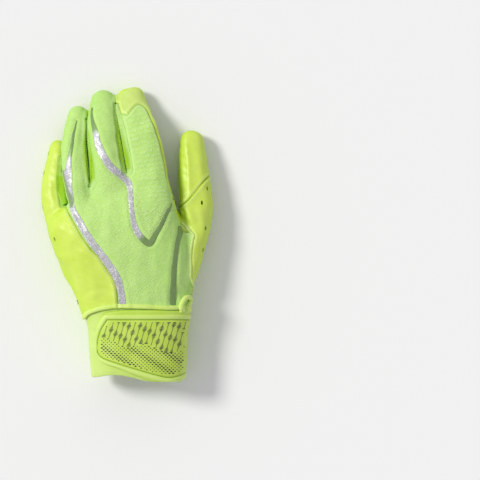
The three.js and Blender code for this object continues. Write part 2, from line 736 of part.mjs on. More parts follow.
const fourchettes = FOURCHETTES.map((pair) => ({
  name: `fourchette_${pair.right}_${pair.left}`,
  solid: panel(handShell.intersect(fourchetteBox(pair, 0))),
}));
const handBody = take(handShell, FOURCHETTES.map((pair) => fourchetteBox(pair, SEAM_GAP)));
const backPanel = panel(handBody.intersect(backRegion(0)));
const gripBody = handBody.subtract(backRegion(SEAM_GAP));
const thumbCover = panel(gripBody.intersect(coverRegion(0)));
const thumbBase = panel(gripBody.subtract(coverRegion(SEAM_GAP)).intersect(thumbRegion(0)));
const handGrip = gripBody.subtract(thumbRegion(SEAM_GAP));
const sidePanel = panel(handGrip.intersect(sideRegion(0)));
const palmPanel = panel(handGrip.subtract(sideRegion(SEAM_GAP)));

// Film and piping lie on the panels, a seam gap above them
const upperHand = join(backLimbs.map((name) => upperHalf(name)));
const filmInside = handForm(SEAM_GAP, 0);
const stripeFilm = handForm(SEAM_GAP + STRIPE_THICKNESS, 0).subtract(filmInside).intersect(upperHand);
const upperRight = join(["palm", "thumb"].map((name) => upperHalf(name)));
const pipingLayer = handForm(SEAM_GAP + PIPING_HEIGHT, 0).subtract(filmInside).intersect(upperRight);
const stripes = Object.entries(STRIPES).map(([name, points]) => ({
  name,
  solid: panel(stripeFilm.intersect(prism(ribbon(points, STRIPE_WIDTH, points.length + STRIPE_EXTRA_STEPS)))),
}));
const piping = panel(pipingLayer.intersect(prism(ribbon(THUMB_BACK_SEAM, PIPING_WIDTH, 11))));

// Cuff: an open tube
const openingEdge = smooth(CUFF_OPENING_EDGE, 14);
const cuffSide = prism([
  ...openingEdge,
  new THREE.Vector2(everywhere / 2, openingEdge.at(-1).y),
  new THREE.Vector2(everywhere / 2, everywhere / 2),
  new THREE.Vector2(-everywhere / 2, everywhere / 2),
  new THREE.Vector2(-everywhere / 2, openingEdge[0].y),
]);

// The cuff's own outside, grown; the floor under it drops by the same amount
function cuffForm(grow, lead = CUFF_LENGTH / 4) {
  return limbSolid("cuff", grow, lead).intersect(above(CUFF_FLOOR - grow));
}

const cuffHollow = loft([
  ...[-1, 0, 1, 2, 3, 4, 5, 6, 7].map((i) => {
    const frame = cuffSection(Math.min(Math.max(i / 6, 0), 1));
    if (i < 0) frame.centre.y -= CUFF_LENGTH / 3;
    if (i > 6) frame.centre.y += CUFF_WALL;
    return ovalRing(frame, PALM_CORNER, PALM_SIDES, -CUFF_WALL);
  }),
]).intersect(above(CUFF_FLOOR + CUFF_WALL));
const cuff = panel(cuffForm(0).subtract(cuffHollow).intersect(cuffSide));

// Strap: a band round the thumb side, sewn under the wrist, with a rounded tab over the back of it
const strapInside = cuffForm(SEAM_GAP);
const strapLevel = SEAM_GAP + STRAP_THICKNESS;
const tabOutline = (points, topEdge, steps) => [
  ...smooth(points, steps),
  place(at("cuff", points.at(-1).along, 1.5)),
  place(at("cuff", topEdge, 1.5)),
];
const underOutline = [
  at("cuff", STRAP_UNDER.top, STRAP_UNDER.anchor),
  at("cuff", STRAP_UNDER.bottom, STRAP_UNDER.anchor),
  at("cuff", STRAP_UNDER.bottom, 1.5),
  at("cuff", STRAP_UNDER.top, 1.5),
].map(place);
const strapOutline = tabOutline(STRAP_TAB, STRAP_TOP_EDGE, 18);
const patchOutline = tabOutline(PATCH_TAB, PATCH_TOP_EDGE, 16);
const cuffMiddle = CUFF_FLOOR + CUFF_HEIGHT / 2;
const strapRegion = prism(strapOutline, 0, cuffMiddle).add(prism(underOutline, 0, -PALM_HEIGHT / 4, cuffMiddle));
const band = cuffForm(strapLevel).subtract(strapInside).intersect(strapRegion);
const rimLayer = cuffForm(strapLevel + STRAP_RIM_HEIGHT).subtract(strapInside).intersect(strapRegion);
const patchRoom = prism(patchOutline, SEAM_GAP, cuffMiddle - SEAM_GAP);
const rim = rimLayer.intersect(above(cuffMiddle)).subtract(patchRoom);
const strap = panel(band.add(rim));
const patchLayer = cuffForm(strapLevel + SEAM_GAP + PATCH_THICKNESS).subtract(cuffForm(strapLevel + SEAM_GAP));
const strapPatch = panel(patchLayer.intersect(prism(patchOutline, 0, cuffMiddle)));

// Materials and named meshes
const material = (colour, roughness, metalness = 0) =>
  new THREE.MeshStandardMaterial({ color: colour, roughness, metalness });
const knit = material(0xbaf07c, 0.85);
const grip = material(0xd6f04e, 0.38);
const neoprene = material(0xd0f268, 0.7);
const rubber = material(0xc6ee58, 0.5);
const reflective = material(0xb4b4bc, 0.35, 0.5);
const cord = material(0xe4ff8c, 0.6);

function meshOf(name, solid, finish) {
  const { vertProperties, triVerts } = solid.getMesh();
  const geometry = new THREE.BufferGeometry();
  geometry.setAttribute("position", new THREE.BufferAttribute(vertProperties, 3));
  geometry.setIndex(new THREE.BufferAttribute(triVerts, 1));
  geometry.computeVertexNormals();
  const mesh = new THREE.Mesh(geometry, finish);
  mesh.name = name;
  return mesh;
}

const glove = new THREE.Group();
glove.add(
  meshOf("back_panel", backPanel, knit),
  meshOf("palm_panel", palmPanel, grip),
  meshOf("side_panel", sidePanel, grip),
  meshOf("thumb_cover", thumbCover, grip),
  meshOf("thumb_base", thumbBase, grip),
  ...fourchettes.map(({ name, solid }) => meshOf(name, solid, knit)),
  ...stripes.map(({ name, solid }) => meshOf(name, solid, reflective)),
  meshOf("piping", piping, cord),
  meshOf("cuff", cuff, neoprene),
  meshOf("strap", strap, neoprene),
  meshOf("strap_patch", strapPatch, rubber),
);

// The origin is the middle of the glove's box, on the floor
const box = new THREE.Box3().setFromObject(glove, true);
const centre = box.getCenter(new THREE.Vector3());
glove.position.set(-centre.x, -centre.y, -box.min.z);

export default glove;
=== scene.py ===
"""Looks of the receiver glove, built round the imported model.

The hand is one smooth field made from the same tables as the part's source. It is meshed once and split
along its seams into panels, and each panel gets its thickness, seam relief and folds. Lengths are
millimetres in the source's own frame until an object is made from them.
"""
import json
import math
from collections import namedtuple

import bpy
import numpy as np
import openvdb
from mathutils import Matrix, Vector
from mathutils.bvhtree import BVHTree
from mathutils.kdtree import KDTree

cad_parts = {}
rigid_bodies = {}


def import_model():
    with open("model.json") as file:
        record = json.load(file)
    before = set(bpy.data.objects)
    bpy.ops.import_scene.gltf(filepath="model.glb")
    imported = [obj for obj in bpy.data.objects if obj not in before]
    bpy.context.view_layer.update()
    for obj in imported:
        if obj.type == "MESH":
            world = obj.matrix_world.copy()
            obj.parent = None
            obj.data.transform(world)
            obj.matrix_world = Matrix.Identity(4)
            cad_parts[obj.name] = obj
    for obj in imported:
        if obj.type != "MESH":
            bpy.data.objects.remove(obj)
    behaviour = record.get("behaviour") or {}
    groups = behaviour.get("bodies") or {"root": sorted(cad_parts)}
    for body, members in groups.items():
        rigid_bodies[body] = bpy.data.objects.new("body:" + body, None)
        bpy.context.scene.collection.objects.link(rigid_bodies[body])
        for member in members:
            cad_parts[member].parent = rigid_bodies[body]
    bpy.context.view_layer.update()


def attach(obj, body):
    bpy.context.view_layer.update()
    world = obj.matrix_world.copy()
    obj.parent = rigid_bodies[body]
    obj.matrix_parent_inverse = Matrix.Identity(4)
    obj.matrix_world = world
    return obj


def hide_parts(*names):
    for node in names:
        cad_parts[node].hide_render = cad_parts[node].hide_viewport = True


for leftover in list(bpy.data.objects):
    bpy.data.objects.remove(leftover)
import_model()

MILLIMETRE = 0.001
ORIGIN = np.array([7.828, -68.187, 0.0])  # added to the source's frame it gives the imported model's

# Sizes and tables of the part's source
PALM_LENGTH = 104.0
PALM_WIDTH = 105.0
PALM_HEIGHT = 48.0
PALM_CORNER = 2.5
DIGIT_CORNER = 2.25
SHELL_WALL = 1.6
SEAM_GAP = 0.3
KNUCKLE_RISE = 30.0
CUFF_LENGTH = 62.0
CUFF_TUCK = 16.0
CUFF_WIDTH = 75.0
CUFF_HEIGHT = 36.5
STRAP_THICKNESS = 2.2
STRAP_RIM_HEIGHT = 1.1
PATCH_THICKNESS = 0.9
STRIPE_WIDTH = 5.4
PALM_DOME = 0.1
TIP_ROOM = 1.12
SIDE_ROOM = 1.2

PALM_COLUMNS = ("along", "shift", "wide", "top", "sole", "roll", "yaw")
PALM_ROWS = [
    (0, 0, 0.78, 0.875, -0.02, 0, 0),
    (0.165, -0.022, 0.84, 0.905, -0.03, -1, 0),
    (0.35, -0.063, 0.922, 0.948, -0.035, -3, 0),
    (0.54, -0.111, 0.973, 0.99, -0.02, -5, 1),
    (0.725, -0.166, 0.985, 0.98, 0.05, -7, 4),
    (0.87, -0.173, 0.91, 0.91, 0.18, -9, 9),
    (0.985, -0.125, 0.72, 0.81, 0.42, -9, 13),
]
DIGIT_COLUMNS = ("along", "across", "lift", "wide", "deep")
DIGITS = {
    "index": {
        "length": 98, "width": 29.5, "depth": 20, "roll": -3, "root": (0.827, 0.114, 1),
        "rows": [
            (0, 0, 1, 1, 1.05),
            (0.317, -0.03, 0.97, 1.02, 0.98),
            (0.587, -0.0875, 0.76, 1, 0.9),
            (0.762, -0.143, 0.4, 0.93, 0.85),
            (0.896, -0.172, 0.08, 0.78, 0.8),
        ],
    },
    "middle": {
        "length": 98, "width": 23.6, "depth": 20, "roll": -4, "root": (0.803, -0.19, 1.03),
        "rows": [
            (0, 0, 1, 1.1, 1.05),
            (0.22, -0.006, 1, 1.14, 1.03),
            (0.341, -0.0225, 0.98, 1.11, 1),
            (0.596, -0.051, 0.8, 0.985, 0.92),
            (0.786, -0.0715, 0.44, 0.87, 0.86),
            (0.897, -0.065, 0.12, 0.79, 0.8),
        ],
    },
    "ring": {
        "length": 91, "width": 19, "depth": 18.5, "roll": -10, "root": (0.75, -0.395, 0.93),
        "rows": [
            (0, 0, 1, 1, 1.05),
            (0.15, -0.016, 1, 0.98, 1.03),
            (0.35, -0.054, 0.98, 1.05, 1),
            (0.6, -0.0755, 0.82, 1.06, 0.94),
            (0.76, -0.068, 0.54, 0.97, 0.88),
            (0.893, -0.056, 0.18, 0.8, 0.82),
        ],
    },
    "little": {
        "length": 106, "width": 18.4, "depth": 16.5, "roll": -24, "root": (0.346, -0.438, 0.6),
        "rows": [
            (0, 0, 1, 0.9, 1.2),
            (0.226, -0.094, 0.95, 0.97, 1.1),
            (0.52, -0.174, 0.78, 1.02, 1),
            (0.69, -0.18, 0.56, 0.98, 0.95),
            (0.815, -0.161, 0.34, 0.93, 0.9),
            (0.905, -0.149, 0.12, 0.82, 0.84),
        ],
    },
    "thumb": {
        "length": 130, "width": 26.4, "depth": 23, "roll": 8, "root": (0.192, 0.276, 0.67),
        "rows": [
            (0, 0, 1, 0.76, 1.25),
            (0.206, 0.062, 0.95, 0.98, 1.2),
            (0.386, 0.116, 0.8, 0.93, 1.08),
            (0.536, 0.134, 0.64, 1, 1),
            (0.686, 0.122, 0.45, 0.95, 0.95),
            (0.83, 0.112, 0.27, 0.83, 0.9),
            (0.902, 0.11, 0.12, 0.72, 0.82),
        ],
    },
}
# Cuff: share along, shift, breadth and height
CUFF_ROWS = [
    (0, 0.002, 0.93, 0.97),
    (0.33, -0.003, 0.972, 0.99),
    (0.6, -0.005, 0.992, 1),
    (0.74, -0.004, 1.01, 1.02),
]


def on(limb, *spots):
    """Outline points on one limb: share along it, share across it (-1 is its left edge)."""
    return [(limb, *spot) for spot in spots]


# Plan outlines
WRIST_EDGE = on(
    "palm", (0.008, -1.4), (0.015, -1.02), (0.057, -0.85), (0.09, -0.59), (0.108, -0.2), (0.094, 0.62),
    (0.097, 1), (0.097, 1.4),
)
BACK_LEFT = on(
    "palm", (-0.2, -0.31), (0.12, -0.27), (0.213, -0.24), (0.3, -0.22), (0.378, -0.28), (0.486, -0.36),
    (0.542, -0.44), (0.637, -0.51), (0.734, -0.57), (0.818, -0.67), (0.87, -0.77),
)
BACK_FINGERTIPS = [
    *on("ring", (0.4, -1.5), (1.12, -1.5)),
    *on("middle", (1.12, -1.1), (1.12, 1.15)),
    *on("index", (0.79, -1.12)),
]
BACK_INDEX_CAP = on("index", (0.77, -0.34), (0.836, 0.16), (0.856, 0.5), (0.831, 0.8), (0.76, 0.9))
BACK_RIGHT = [
    *on("index", (0.587, 0.93), (0.4, 0.93), (0.25, 0.96)),
    *on("palm", (0.893, 1.05), (0.823, 1.04)),
]
THUMB_BACK_SEAM = on(
    "palm", (0.746, 1.03), (0.7, 1.11), (0.65, 1.16), (0.616, 1.13), (0.529, 1.06), (0.387, 1.02),
    (0.342, 1.01), (0.281, 1.05), (0.2, 1.05),
)
BACK_WRIST = ("palm", -0.2, 1.05)
THUMB_INNER_SEAM = on(
    "palm", (-0.2, 0.5), (0.1, 0.47), (0.3, 0.4), (0.5, 0.4), (0.68, 0.55), (0.8, 0.8), (0.878, 1),
)
SIDE_EDGE = [
    *on("palm", (-0.2, 0), (0.5, 0), (0.66, -0.3)),
    *on("ring", (0.1, 0), (0.3, -0.2), (0.6, -0.6), (0.9, -1.1), (1.12, -1.5)),
]
THUMB_COVER_SEAM = on("thumb", (0.5, -1.6), (0.536, -0.94), (0.586, -0.34), (0.702, 0.75), (0.77, 1.5))
# Side walls: fingers on the left and right, stretch of the right one, share that the wall covers of each,
# and how far it reaches above and below the left one's middle
Wall = namedtuple("Wall", "left right start end covers above below")
FOURCHETTES = [
    Wall("middle", "index", 0.24, 0.86, (0.28, 0.5), 0.62, 0.5),
    Wall("ring", "middle", 0.22, 0.76, (0.28, 0.28), 0.5, 0.5),
    Wall("little", "ring", 0.03, 0.56, (0.4, 0.3), 0.5, 0.5),
]
# Stripes: share along, share across, share of the full width
STRIPES = {
    "stripe_outer": [
        *on(
            "ring", (0.874, 0.04, 0.16), (0.806, -0.03, 0.3), (0.703, -0.17, 0.55), (0.6, -0.31, 0.8),
            (0.531, -0.45, 1), (0.446, -0.6, 1.35), (0.291, -0.66, 1),
        ),
        *on(
            "palm", (0.889, -0.69, 0.7), (0.81, -0.57, 0.95), (0.709, -0.46, 1.05), (0.608, -0.4, 1.05),
            (0.486, -0.29, 1.1), (0.378, -0.2, 1.15), (0.304, -0.165, 1.1), (0.213, -0.17, 1.05),
            (0.13, -0.195, 1.15),
        ),
    ],
    "stripe_centre": [
        *on(
            "middle", (0.856, -0.86, 0.16), (0.779, -0.76, 0.4), (0.643, -0.52, 0.85), (0.566, -0.42, 1),
            (0.473, -0.14, 1.1), (0.379, 0.24, 1.05), (0.322, 0.7, 1), (0.262, 1.1, 0.95),
        ),
        *on("index", (0.173, -0.98, 0.8)),
        *on(
            "palm", (0.881, 0.31, 0.76), (0.761, 0.32, 0.8), (0.677, 0.34, 0.9), (0.615, 0.4, 0.95),
            (0.591, 0.48, 0.95), (0.656, 0.6, 0.75), (0.725, 0.72, 0.65), (0.813, 0.85, 0.55),
            (0.85, 0.91, 0.4),
        ),
    ],
    "stripe_inner": [
        *on(
            "palm", (0.72, 1, 0.45), (0.663, 0.97, 0.62), (0.593, 0.89, 0.62), (0.469, 0.8, 0.7),
            (0.328, 0.74, 0.8), (0.185, 0.71, 0.9), (0.13, 0.7, 0.9),
        ),
    ],
}
STRAP_TAB = on(
    "cuff", (0.163, -0.1), (0.15, -0.36), (0.115, -0.58), (0.01, -0.73), (-0.2, -0.79), (-0.38, -0.8),
    (-0.5, -0.7), (-0.59, -0.29), (-0.69, 0.1), (-0.745, 0.43), (-0.77, 0.75), (-0.735, 0.98), (-0.66, 1.1),
)
PATCH_TAB = on(
    "cuff", (0.035, -0.53), (-0.12, -0.7), (-0.315, -0.765), (-0.43, -0.68), (-0.52, -0.29), (-0.59, 0.1),
    (-0.645, 0.42), (-0.68, 0.71), (-0.65, 0.92), (-0.58, 1.08),
)
STRAP_TOP_EDGE = 0.15
PATCH_TOP_EDGE = 0.035
STRAP_UNDER = {"top": 0.11, "bottom": -0.6, "anchor": 0.1}
CUFF_OPENING_EDGE = on(
    "cuff", (-0.7, -1.5), (-0.69, -0.93), (-0.665, -0.66), (-0.66, -0.38), (-0.69, -0.07), (-0.735, 0.28),
    (-0.745, 0.8), (-0.745, 1.5),
)
# Corners in the photograph's pixels: a pointed end, a notch and a stretch of film with painted shade
STRIPE_TIP = [(167.5, 212), (169, 209), (173.2, 203), (174.4, 204.4), (171.8, 209.5), (170, 213)]
STRIPE_NOTCH = [
    (50, 120), (73.2, 130), (70.6, 148), (68.3, 158), (66.4, 166), (65.4, 171.5), (60, 165.5), (50, 160),
]
STRIPE_SPUR = [(56, 160), (64, 166), (66, 178), (70, 190), (75, 201), (74, 208), (56, 208)]
# Breathing slots: share along, degrees round the section from its right edge
VENTS = [
    *on("thumb", (0.632, 50), (0.552, 78), (0.416, 54), (0.302, 36)),
    *on("little", (0.89, 140), (0.742, 138), (0.52, 146)),
    *on("palm", (0.638, 153)),
]
VENT_LENGTH = 3.4
VENT_WIDTH = 1.8

# Cloth
HAND_CELL = 0.8  # spacing of the hand's mesh
CUFF_CELL = 0.75
WEB_BLEND = 4.0  # rounding where a digit grows out of the palm
FLOOR_BLEND = 1.5
SEAM_DEPTH = 0.6
SEAM_WIDTH = 0.7
ROLL_HEIGHT = 0.32  # cloth standing proud beside a seam
ROLL_AT = 2.1
ROLL_WIDTH = 1.2

UP = np.array([0.0, 0.0, 1.0])
FAR = 900.0  # beyond the whole plan
MILLIMETRES_A_PIXEL = 0.78
PHOTO_SIZE = 480
PHOTO_ZERO = (136.5, 322.0)  # the pixel at which the source's frame has its zero


def seen(px, py):
    """Plan place in the source's frame of a point that the photograph shows."""
    return (px - PHOTO_ZERO[0]) * MILLIMETRES_A_PIXEL, (PHOTO_ZERO[1] - py) * MILLIMETRES_A_PIXEL


def column(stops, values):
    """Smooth curve through one column of a table, as the source reads it."""
    stops = np.array(stops, float)
    values = np.array(values, float)
    last = len(stops) - 1
    before = np.maximum(np.arange(last + 1) - 1, 0)
    after = np.minimum(np.arange(last + 1) + 1, last)
    slopes = (values[after] - values[before]) / (stops[after] - stops[before])

    def read(along):
        along = np.asarray(along, float)
        i = np.clip(np.searchsorted(stops, along, side="right") - 1, 0, last - 1)
        span = stops[i + 1] - stops[i]
        u = (along - stops[i]) / span
        rise = u * u * (3 - 2 * u)
        lead = u * (1 - u) ** 2 * span * slopes[i]
        trail = u * u * (u - 1) * span * slopes[i + 1]
        inside = values[i] * (1 - rise) + values[i + 1] * rise + lead + trail
        low = values[0] + slopes[0] * (along - stops[0])
        high = values[last] + slopes[last] * (along - stops[last])
        return np.where(along <= stops[0], low, np.where(along >= stops[last], high, inside))

    return read


def reader(names, rows):
    """Curves by column name of a table whose first column is the share along."""
    stops = [row[0] for row in rows]
    return {name: column(stops, [row[i] for row in rows]) for i, name in enumerate(names) if i}


def unit(vectors):
    return vectors / np.linalg.norm(vectors, axis=-1, keepdims=True)


def smooth_step(low, high, value):
    share = np.clip((value - low) / (high - low), 0, 1)
    return share * share * (3 - 2 * share)


def bell(distance, width):
    return np.exp(-((distance / width) ** 2))


def smooth_min(a, b, reach):
    share = np.clip(0.5 + 0.5 * (b - a) / reach, 0, 1)
    return b * (1 - share) + a * share - reach * share * (1 - share)


class Limb:
    """A rounded section swept along a line, sampled at even steps."""

    SAMPLES = 241

    def __init__(self, sections, length, start, end, corner, dome, root):
        shares = np.linspace(start - 0.35, end + 0.35, self.SAMPLES)
        centre, forward, roll, wide, high = sections(shares)
        forward = unit(forward)
        side = unit(np.cross(forward, UP))
        up = np.cross(side, forward)
        turn = np.radians(roll)[:, None]
        rolled_side = side * np.cos(turn) - up * np.sin(turn)
        rolled_up = up * np.cos(turn) + side * np.sin(turn)
        travel = np.gradient(centre, shares, axis=0)
        speed = (travel * forward).sum(1)
        columns = [centre, forward, rolled_side, rolled_up, wide[:, None], high[:, None], speed[:, None]]
        self.table = np.hstack(columns)
        self.first = shares[0]
        self.step = shares[1] - shares[0]
        self.start, self.end, self.length = start, end, length
        self.corner, self.dome, self.root = corner, dome, root

    def at(self, share):
        place = (np.asarray(share, float) - self.first) / self.step
        i = np.clip(place.astype(int), 0, self.SAMPLES - 2)
        part = (place - i)[..., None]
        return self.table[i] * (1 - part) + self.table[i + 1] * part

    def locate(self, points, free=False):
        """Share along the limb, then right, up and ahead of its section, and the half sizes there."""
        low, high = self.start, self.end
        if free:
            low, high = self.first, self.first + self.step * (self.SAMPLES - 1)
        origin = self.at(0.0)
        share = np.clip((points[:, 1] - origin[1]) / self.length, low, high)
        for _ in range(4):
            row = self.at(share)
            ahead = ((points - row[:, :3]) * row[:, 3:6]).sum(1)
            share = np.clip(share + ahead / row[:, 14], low, high)
        row = self.at(share)
        offset = points - row[:, :3]
        ahead = (offset * row[:, 3:6]).sum(1)
        right = (offset * row[:, 6:9]).sum(1)
        up = (offset * row[:, 9:12]).sum(1)
        return share, right, up, ahead, row[:, 12], row[:, 13]

    def field(self, points):
        """About the distance to the limb's surface, below zero inside it."""
        _, right, up, ahead, wide, high = self.locate(points)
        deep = np.where(ahead > 0, self.dome, self.root)
        shares = [np.abs(right) / wide, np.abs(up) / high, np.abs(ahead) / deep]
        size = np.maximum(sum(share**self.corner for share in shares) ** (1 / self.corner), 1e-4)
        lean = 2 * self.corner - 2
        slope = sum((share / size) ** lean / half**2 for share, half in zip(shares, (wide, high, deep)))
        return (size - 1) / np.sqrt(slope)

    def place(self, share, across):
        """Plan position of an outline point."""
        row = self.at(share)
        return row[0] + across * row[12], row[1]


palm_reader = reader(PALM_COLUMNS, PALM_ROWS)


def palm_sections(shares):
    """Centre, direction, roll and half sizes of the palm's sections."""
    row = {name: read(shares) for name, read in palm_reader.items()}
    middle = (row["top"] + row["sole"]) / 2 * PALM_HEIGHT
    centre = np.stack([row["shift"] * PALM_WIDTH, shares * PALM_LENGTH, middle], 1)
    yaw = np.radians(row["yaw"])
    forward = np.stack([-np.sin(yaw), np.cos(yaw), 0 * yaw], 1)
    high = (row["top"] - row["sole"]) / 2 * PALM_HEIGHT
    return centre, forward, row["roll"], row["wide"] / 2 * PALM_WIDTH, high


def digit_sections(digit):
    """Reader of a digit's sections, from its root by the palm to its tip on the floor."""
    read = reader(DIGIT_COLUMNS, digit["rows"])
    along, shift, rise = digit["root"]
    tip_height = digit["rows"][-1][4] * digit["depth"] / 2 - SEAM_GAP

    def centre(shares):
        x = shift * PALM_WIDTH + read["across"](shares) * digit["length"]
        y = along * PALM_LENGTH + shares * digit["length"]
        z = tip_height + read["lift"](shares) * (rise * KNUCKLE_RISE - tip_height)
        return np.stack([x, y, z], 1)

    def sections(shares):
        forward = centre(shares + 0.01) - centre(shares - 0.01)
        roll = np.full(len(shares), float(digit["roll"]))
        wide = read["wide"](shares) * digit["width"] / 2
        return centre(shares), forward, roll, wide, read["deep"](shares) * digit["depth"] / 2

    return sections


CUFF_FLOOR = STRAP_THICKNESS + STRAP_RIM_HEIGHT
CUFF_FIT = 0.82
CUFF_START = CUFF_TUCK - CUFF_LENGTH
CUFF_STOPS = np.linspace(0, 1, 7)


def cuff_sections(shares):
    """The cuff runs up from its opening, and its tucked end follows the inside of the hand."""
    read = reader(("along", "shift", "wide", "high"), CUFF_ROWS)
    y = CUFF_START + CUFF_STOPS * CUFF_LENGTH
    centre, _, roll, wide, high = palm_sections(y / PALM_LENGTH)
    inset = SHELL_WALL + SEAM_GAP
    own_high = read["high"](CUFF_STOPS) * CUFF_HEIGHT / 2
    own = [read["shift"](CUFF_STOPS) * CUFF_WIDTH, CUFF_FLOOR + own_high, 0 * roll]
    own += [read["wide"](CUFF_STOPS) * CUFF_WIDTH / 2, own_high]
    fitted = [centre[:, 0], centre[:, 2], roll, wide - inset, high - inset]
    stops = [np.where(CUFF_STOPS >= CUFF_FIT, b, a) for a, b in zip(own, fitted)]
    x, z, roll, wide, high = [column(CUFF_STOPS, values)(np.clip(shares, 0, 1)) for values in stops]
    centre = np.stack([x, CUFF_START + shares * CUFF_LENGTH, z], 1)
    return centre, np.tile([0.0, 1.0, 0.0], (len(shares), 1)), roll, wide, high


LIMB_START = -0.3  # share along the palm and the cuff at which they begin
PALM_ROOT = 10.0  # depth of the palm's dome at the wrist
CUFF_DOME = 5.0
DIGIT_ROOT = 0.3  # share of a digit's width
palm_end = PALM_ROWS[-1][0]
palm_dome = PALM_DOME * PALM_LENGTH
limbs = {
    "palm": Limb(palm_sections, PALM_LENGTH, LIMB_START, palm_end, PALM_CORNER, palm_dome, PALM_ROOT),
    "cuff": Limb(cuff_sections, CUFF_LENGTH, LIMB_START, 1.0, PALM_CORNER, CUFF_DOME, CUFF_DOME),
}
for name, digit in DIGITS.items():
    end = digit["rows"][-1][0]
    dome = (1 - end) * digit["length"]
    root = digit["width"] * DIGIT_ROOT
    limbs[name] = Limb(digit_sections(digit), digit["length"], 0.0, end, DIGIT_CORNER, dome, root)


def place(point):
    """Plan place of an outline point."""
    limb, along, across = point[:3]
    share = along - CUFF_START / CUFF_LENGTH if limb == "cuff" else along
    return np.array(limbs[limb].place(share, across))


def spline(points, count):
    """The source's uniform Catmull-Rom curve through points, read at count + 1 places."""
    points = np.asarray(points, float)
    last = len(points) - 1
    whole = np.linspace(0, last, count + 1)
    i = np.clip(whole.astype(int), 0, last - 1)
    t = (whole - i)[:, None]
    p0 = points[np.maximum(i - 1, 0)]
    p1 = points[i]
    p2 = points[i + 1]
    p3 = points[np.minimum(i + 2, last)]
    v0 = (p2 - p0) / 2
    v1 = (p3 - p1) / 2
    cubic = (2 * p1 - 2 * p2 + v0 + v1) * t**3
    return cubic + (-3 * p1 + 3 * p2 - 2 * v0 - v1) * t**2 + v0 * t + p1


def outline(points, count=60):
    """Smooth plan line through outline points."""
    return spline([place(point) for point in points], count)


def inside(polygon, points):
    """Plan distance to a polygon's edge, above zero inside it."""
    polygon = np.asarray(polygon)
    x, y = points[:, 0], points[:, 1]
    nearest = np.full(len(points), 1e9)
    within = np.zeros(len(points), bool)
    for a, b in zip(polygon, np.roll(polygon, -1, axis=0)):
        edge = b - a
        share = np.clip(((x - a[0]) * edge[0] + (y - a[1]) * edge[1]) / max(edge @ edge, 1e-9), 0, 1)
        nearest = np.minimum(nearest, np.hypot(x - a[0] - share * edge[0], y - a[1] - share * edge[1]))
        crosses = (a[1] > y) != (b[1] > y)
        with np.errstate(divide="ignore", invalid="ignore"):
            at = a[0] + (y - a[1]) * edge[0] / edge[1]
        within ^= crosses & (x < at)
    return np.where(within, nearest, -nearest)


def moved_right(line, distance):
    """A plan line moved to its right, by one distance or by one for each of its places."""
    along = unit(np.gradient(line, axis=0))
    return line + np.stack([along[:, 1], -along[:, 0]], 1) * np.reshape(distance, (-1, 1))


def ribbon(points, full_width, count=90):
    """Plan area of a stripe whose width follows its table."""
    line = outline(points, count)
    stops = np.array([[i, point[3]] for i, point in enumerate(points)])
    width = spline(stops, count)[:, 1] * full_width / 2
    return np.vstack([moved_right(line, width), moved_right(line, -width)[::-1]])


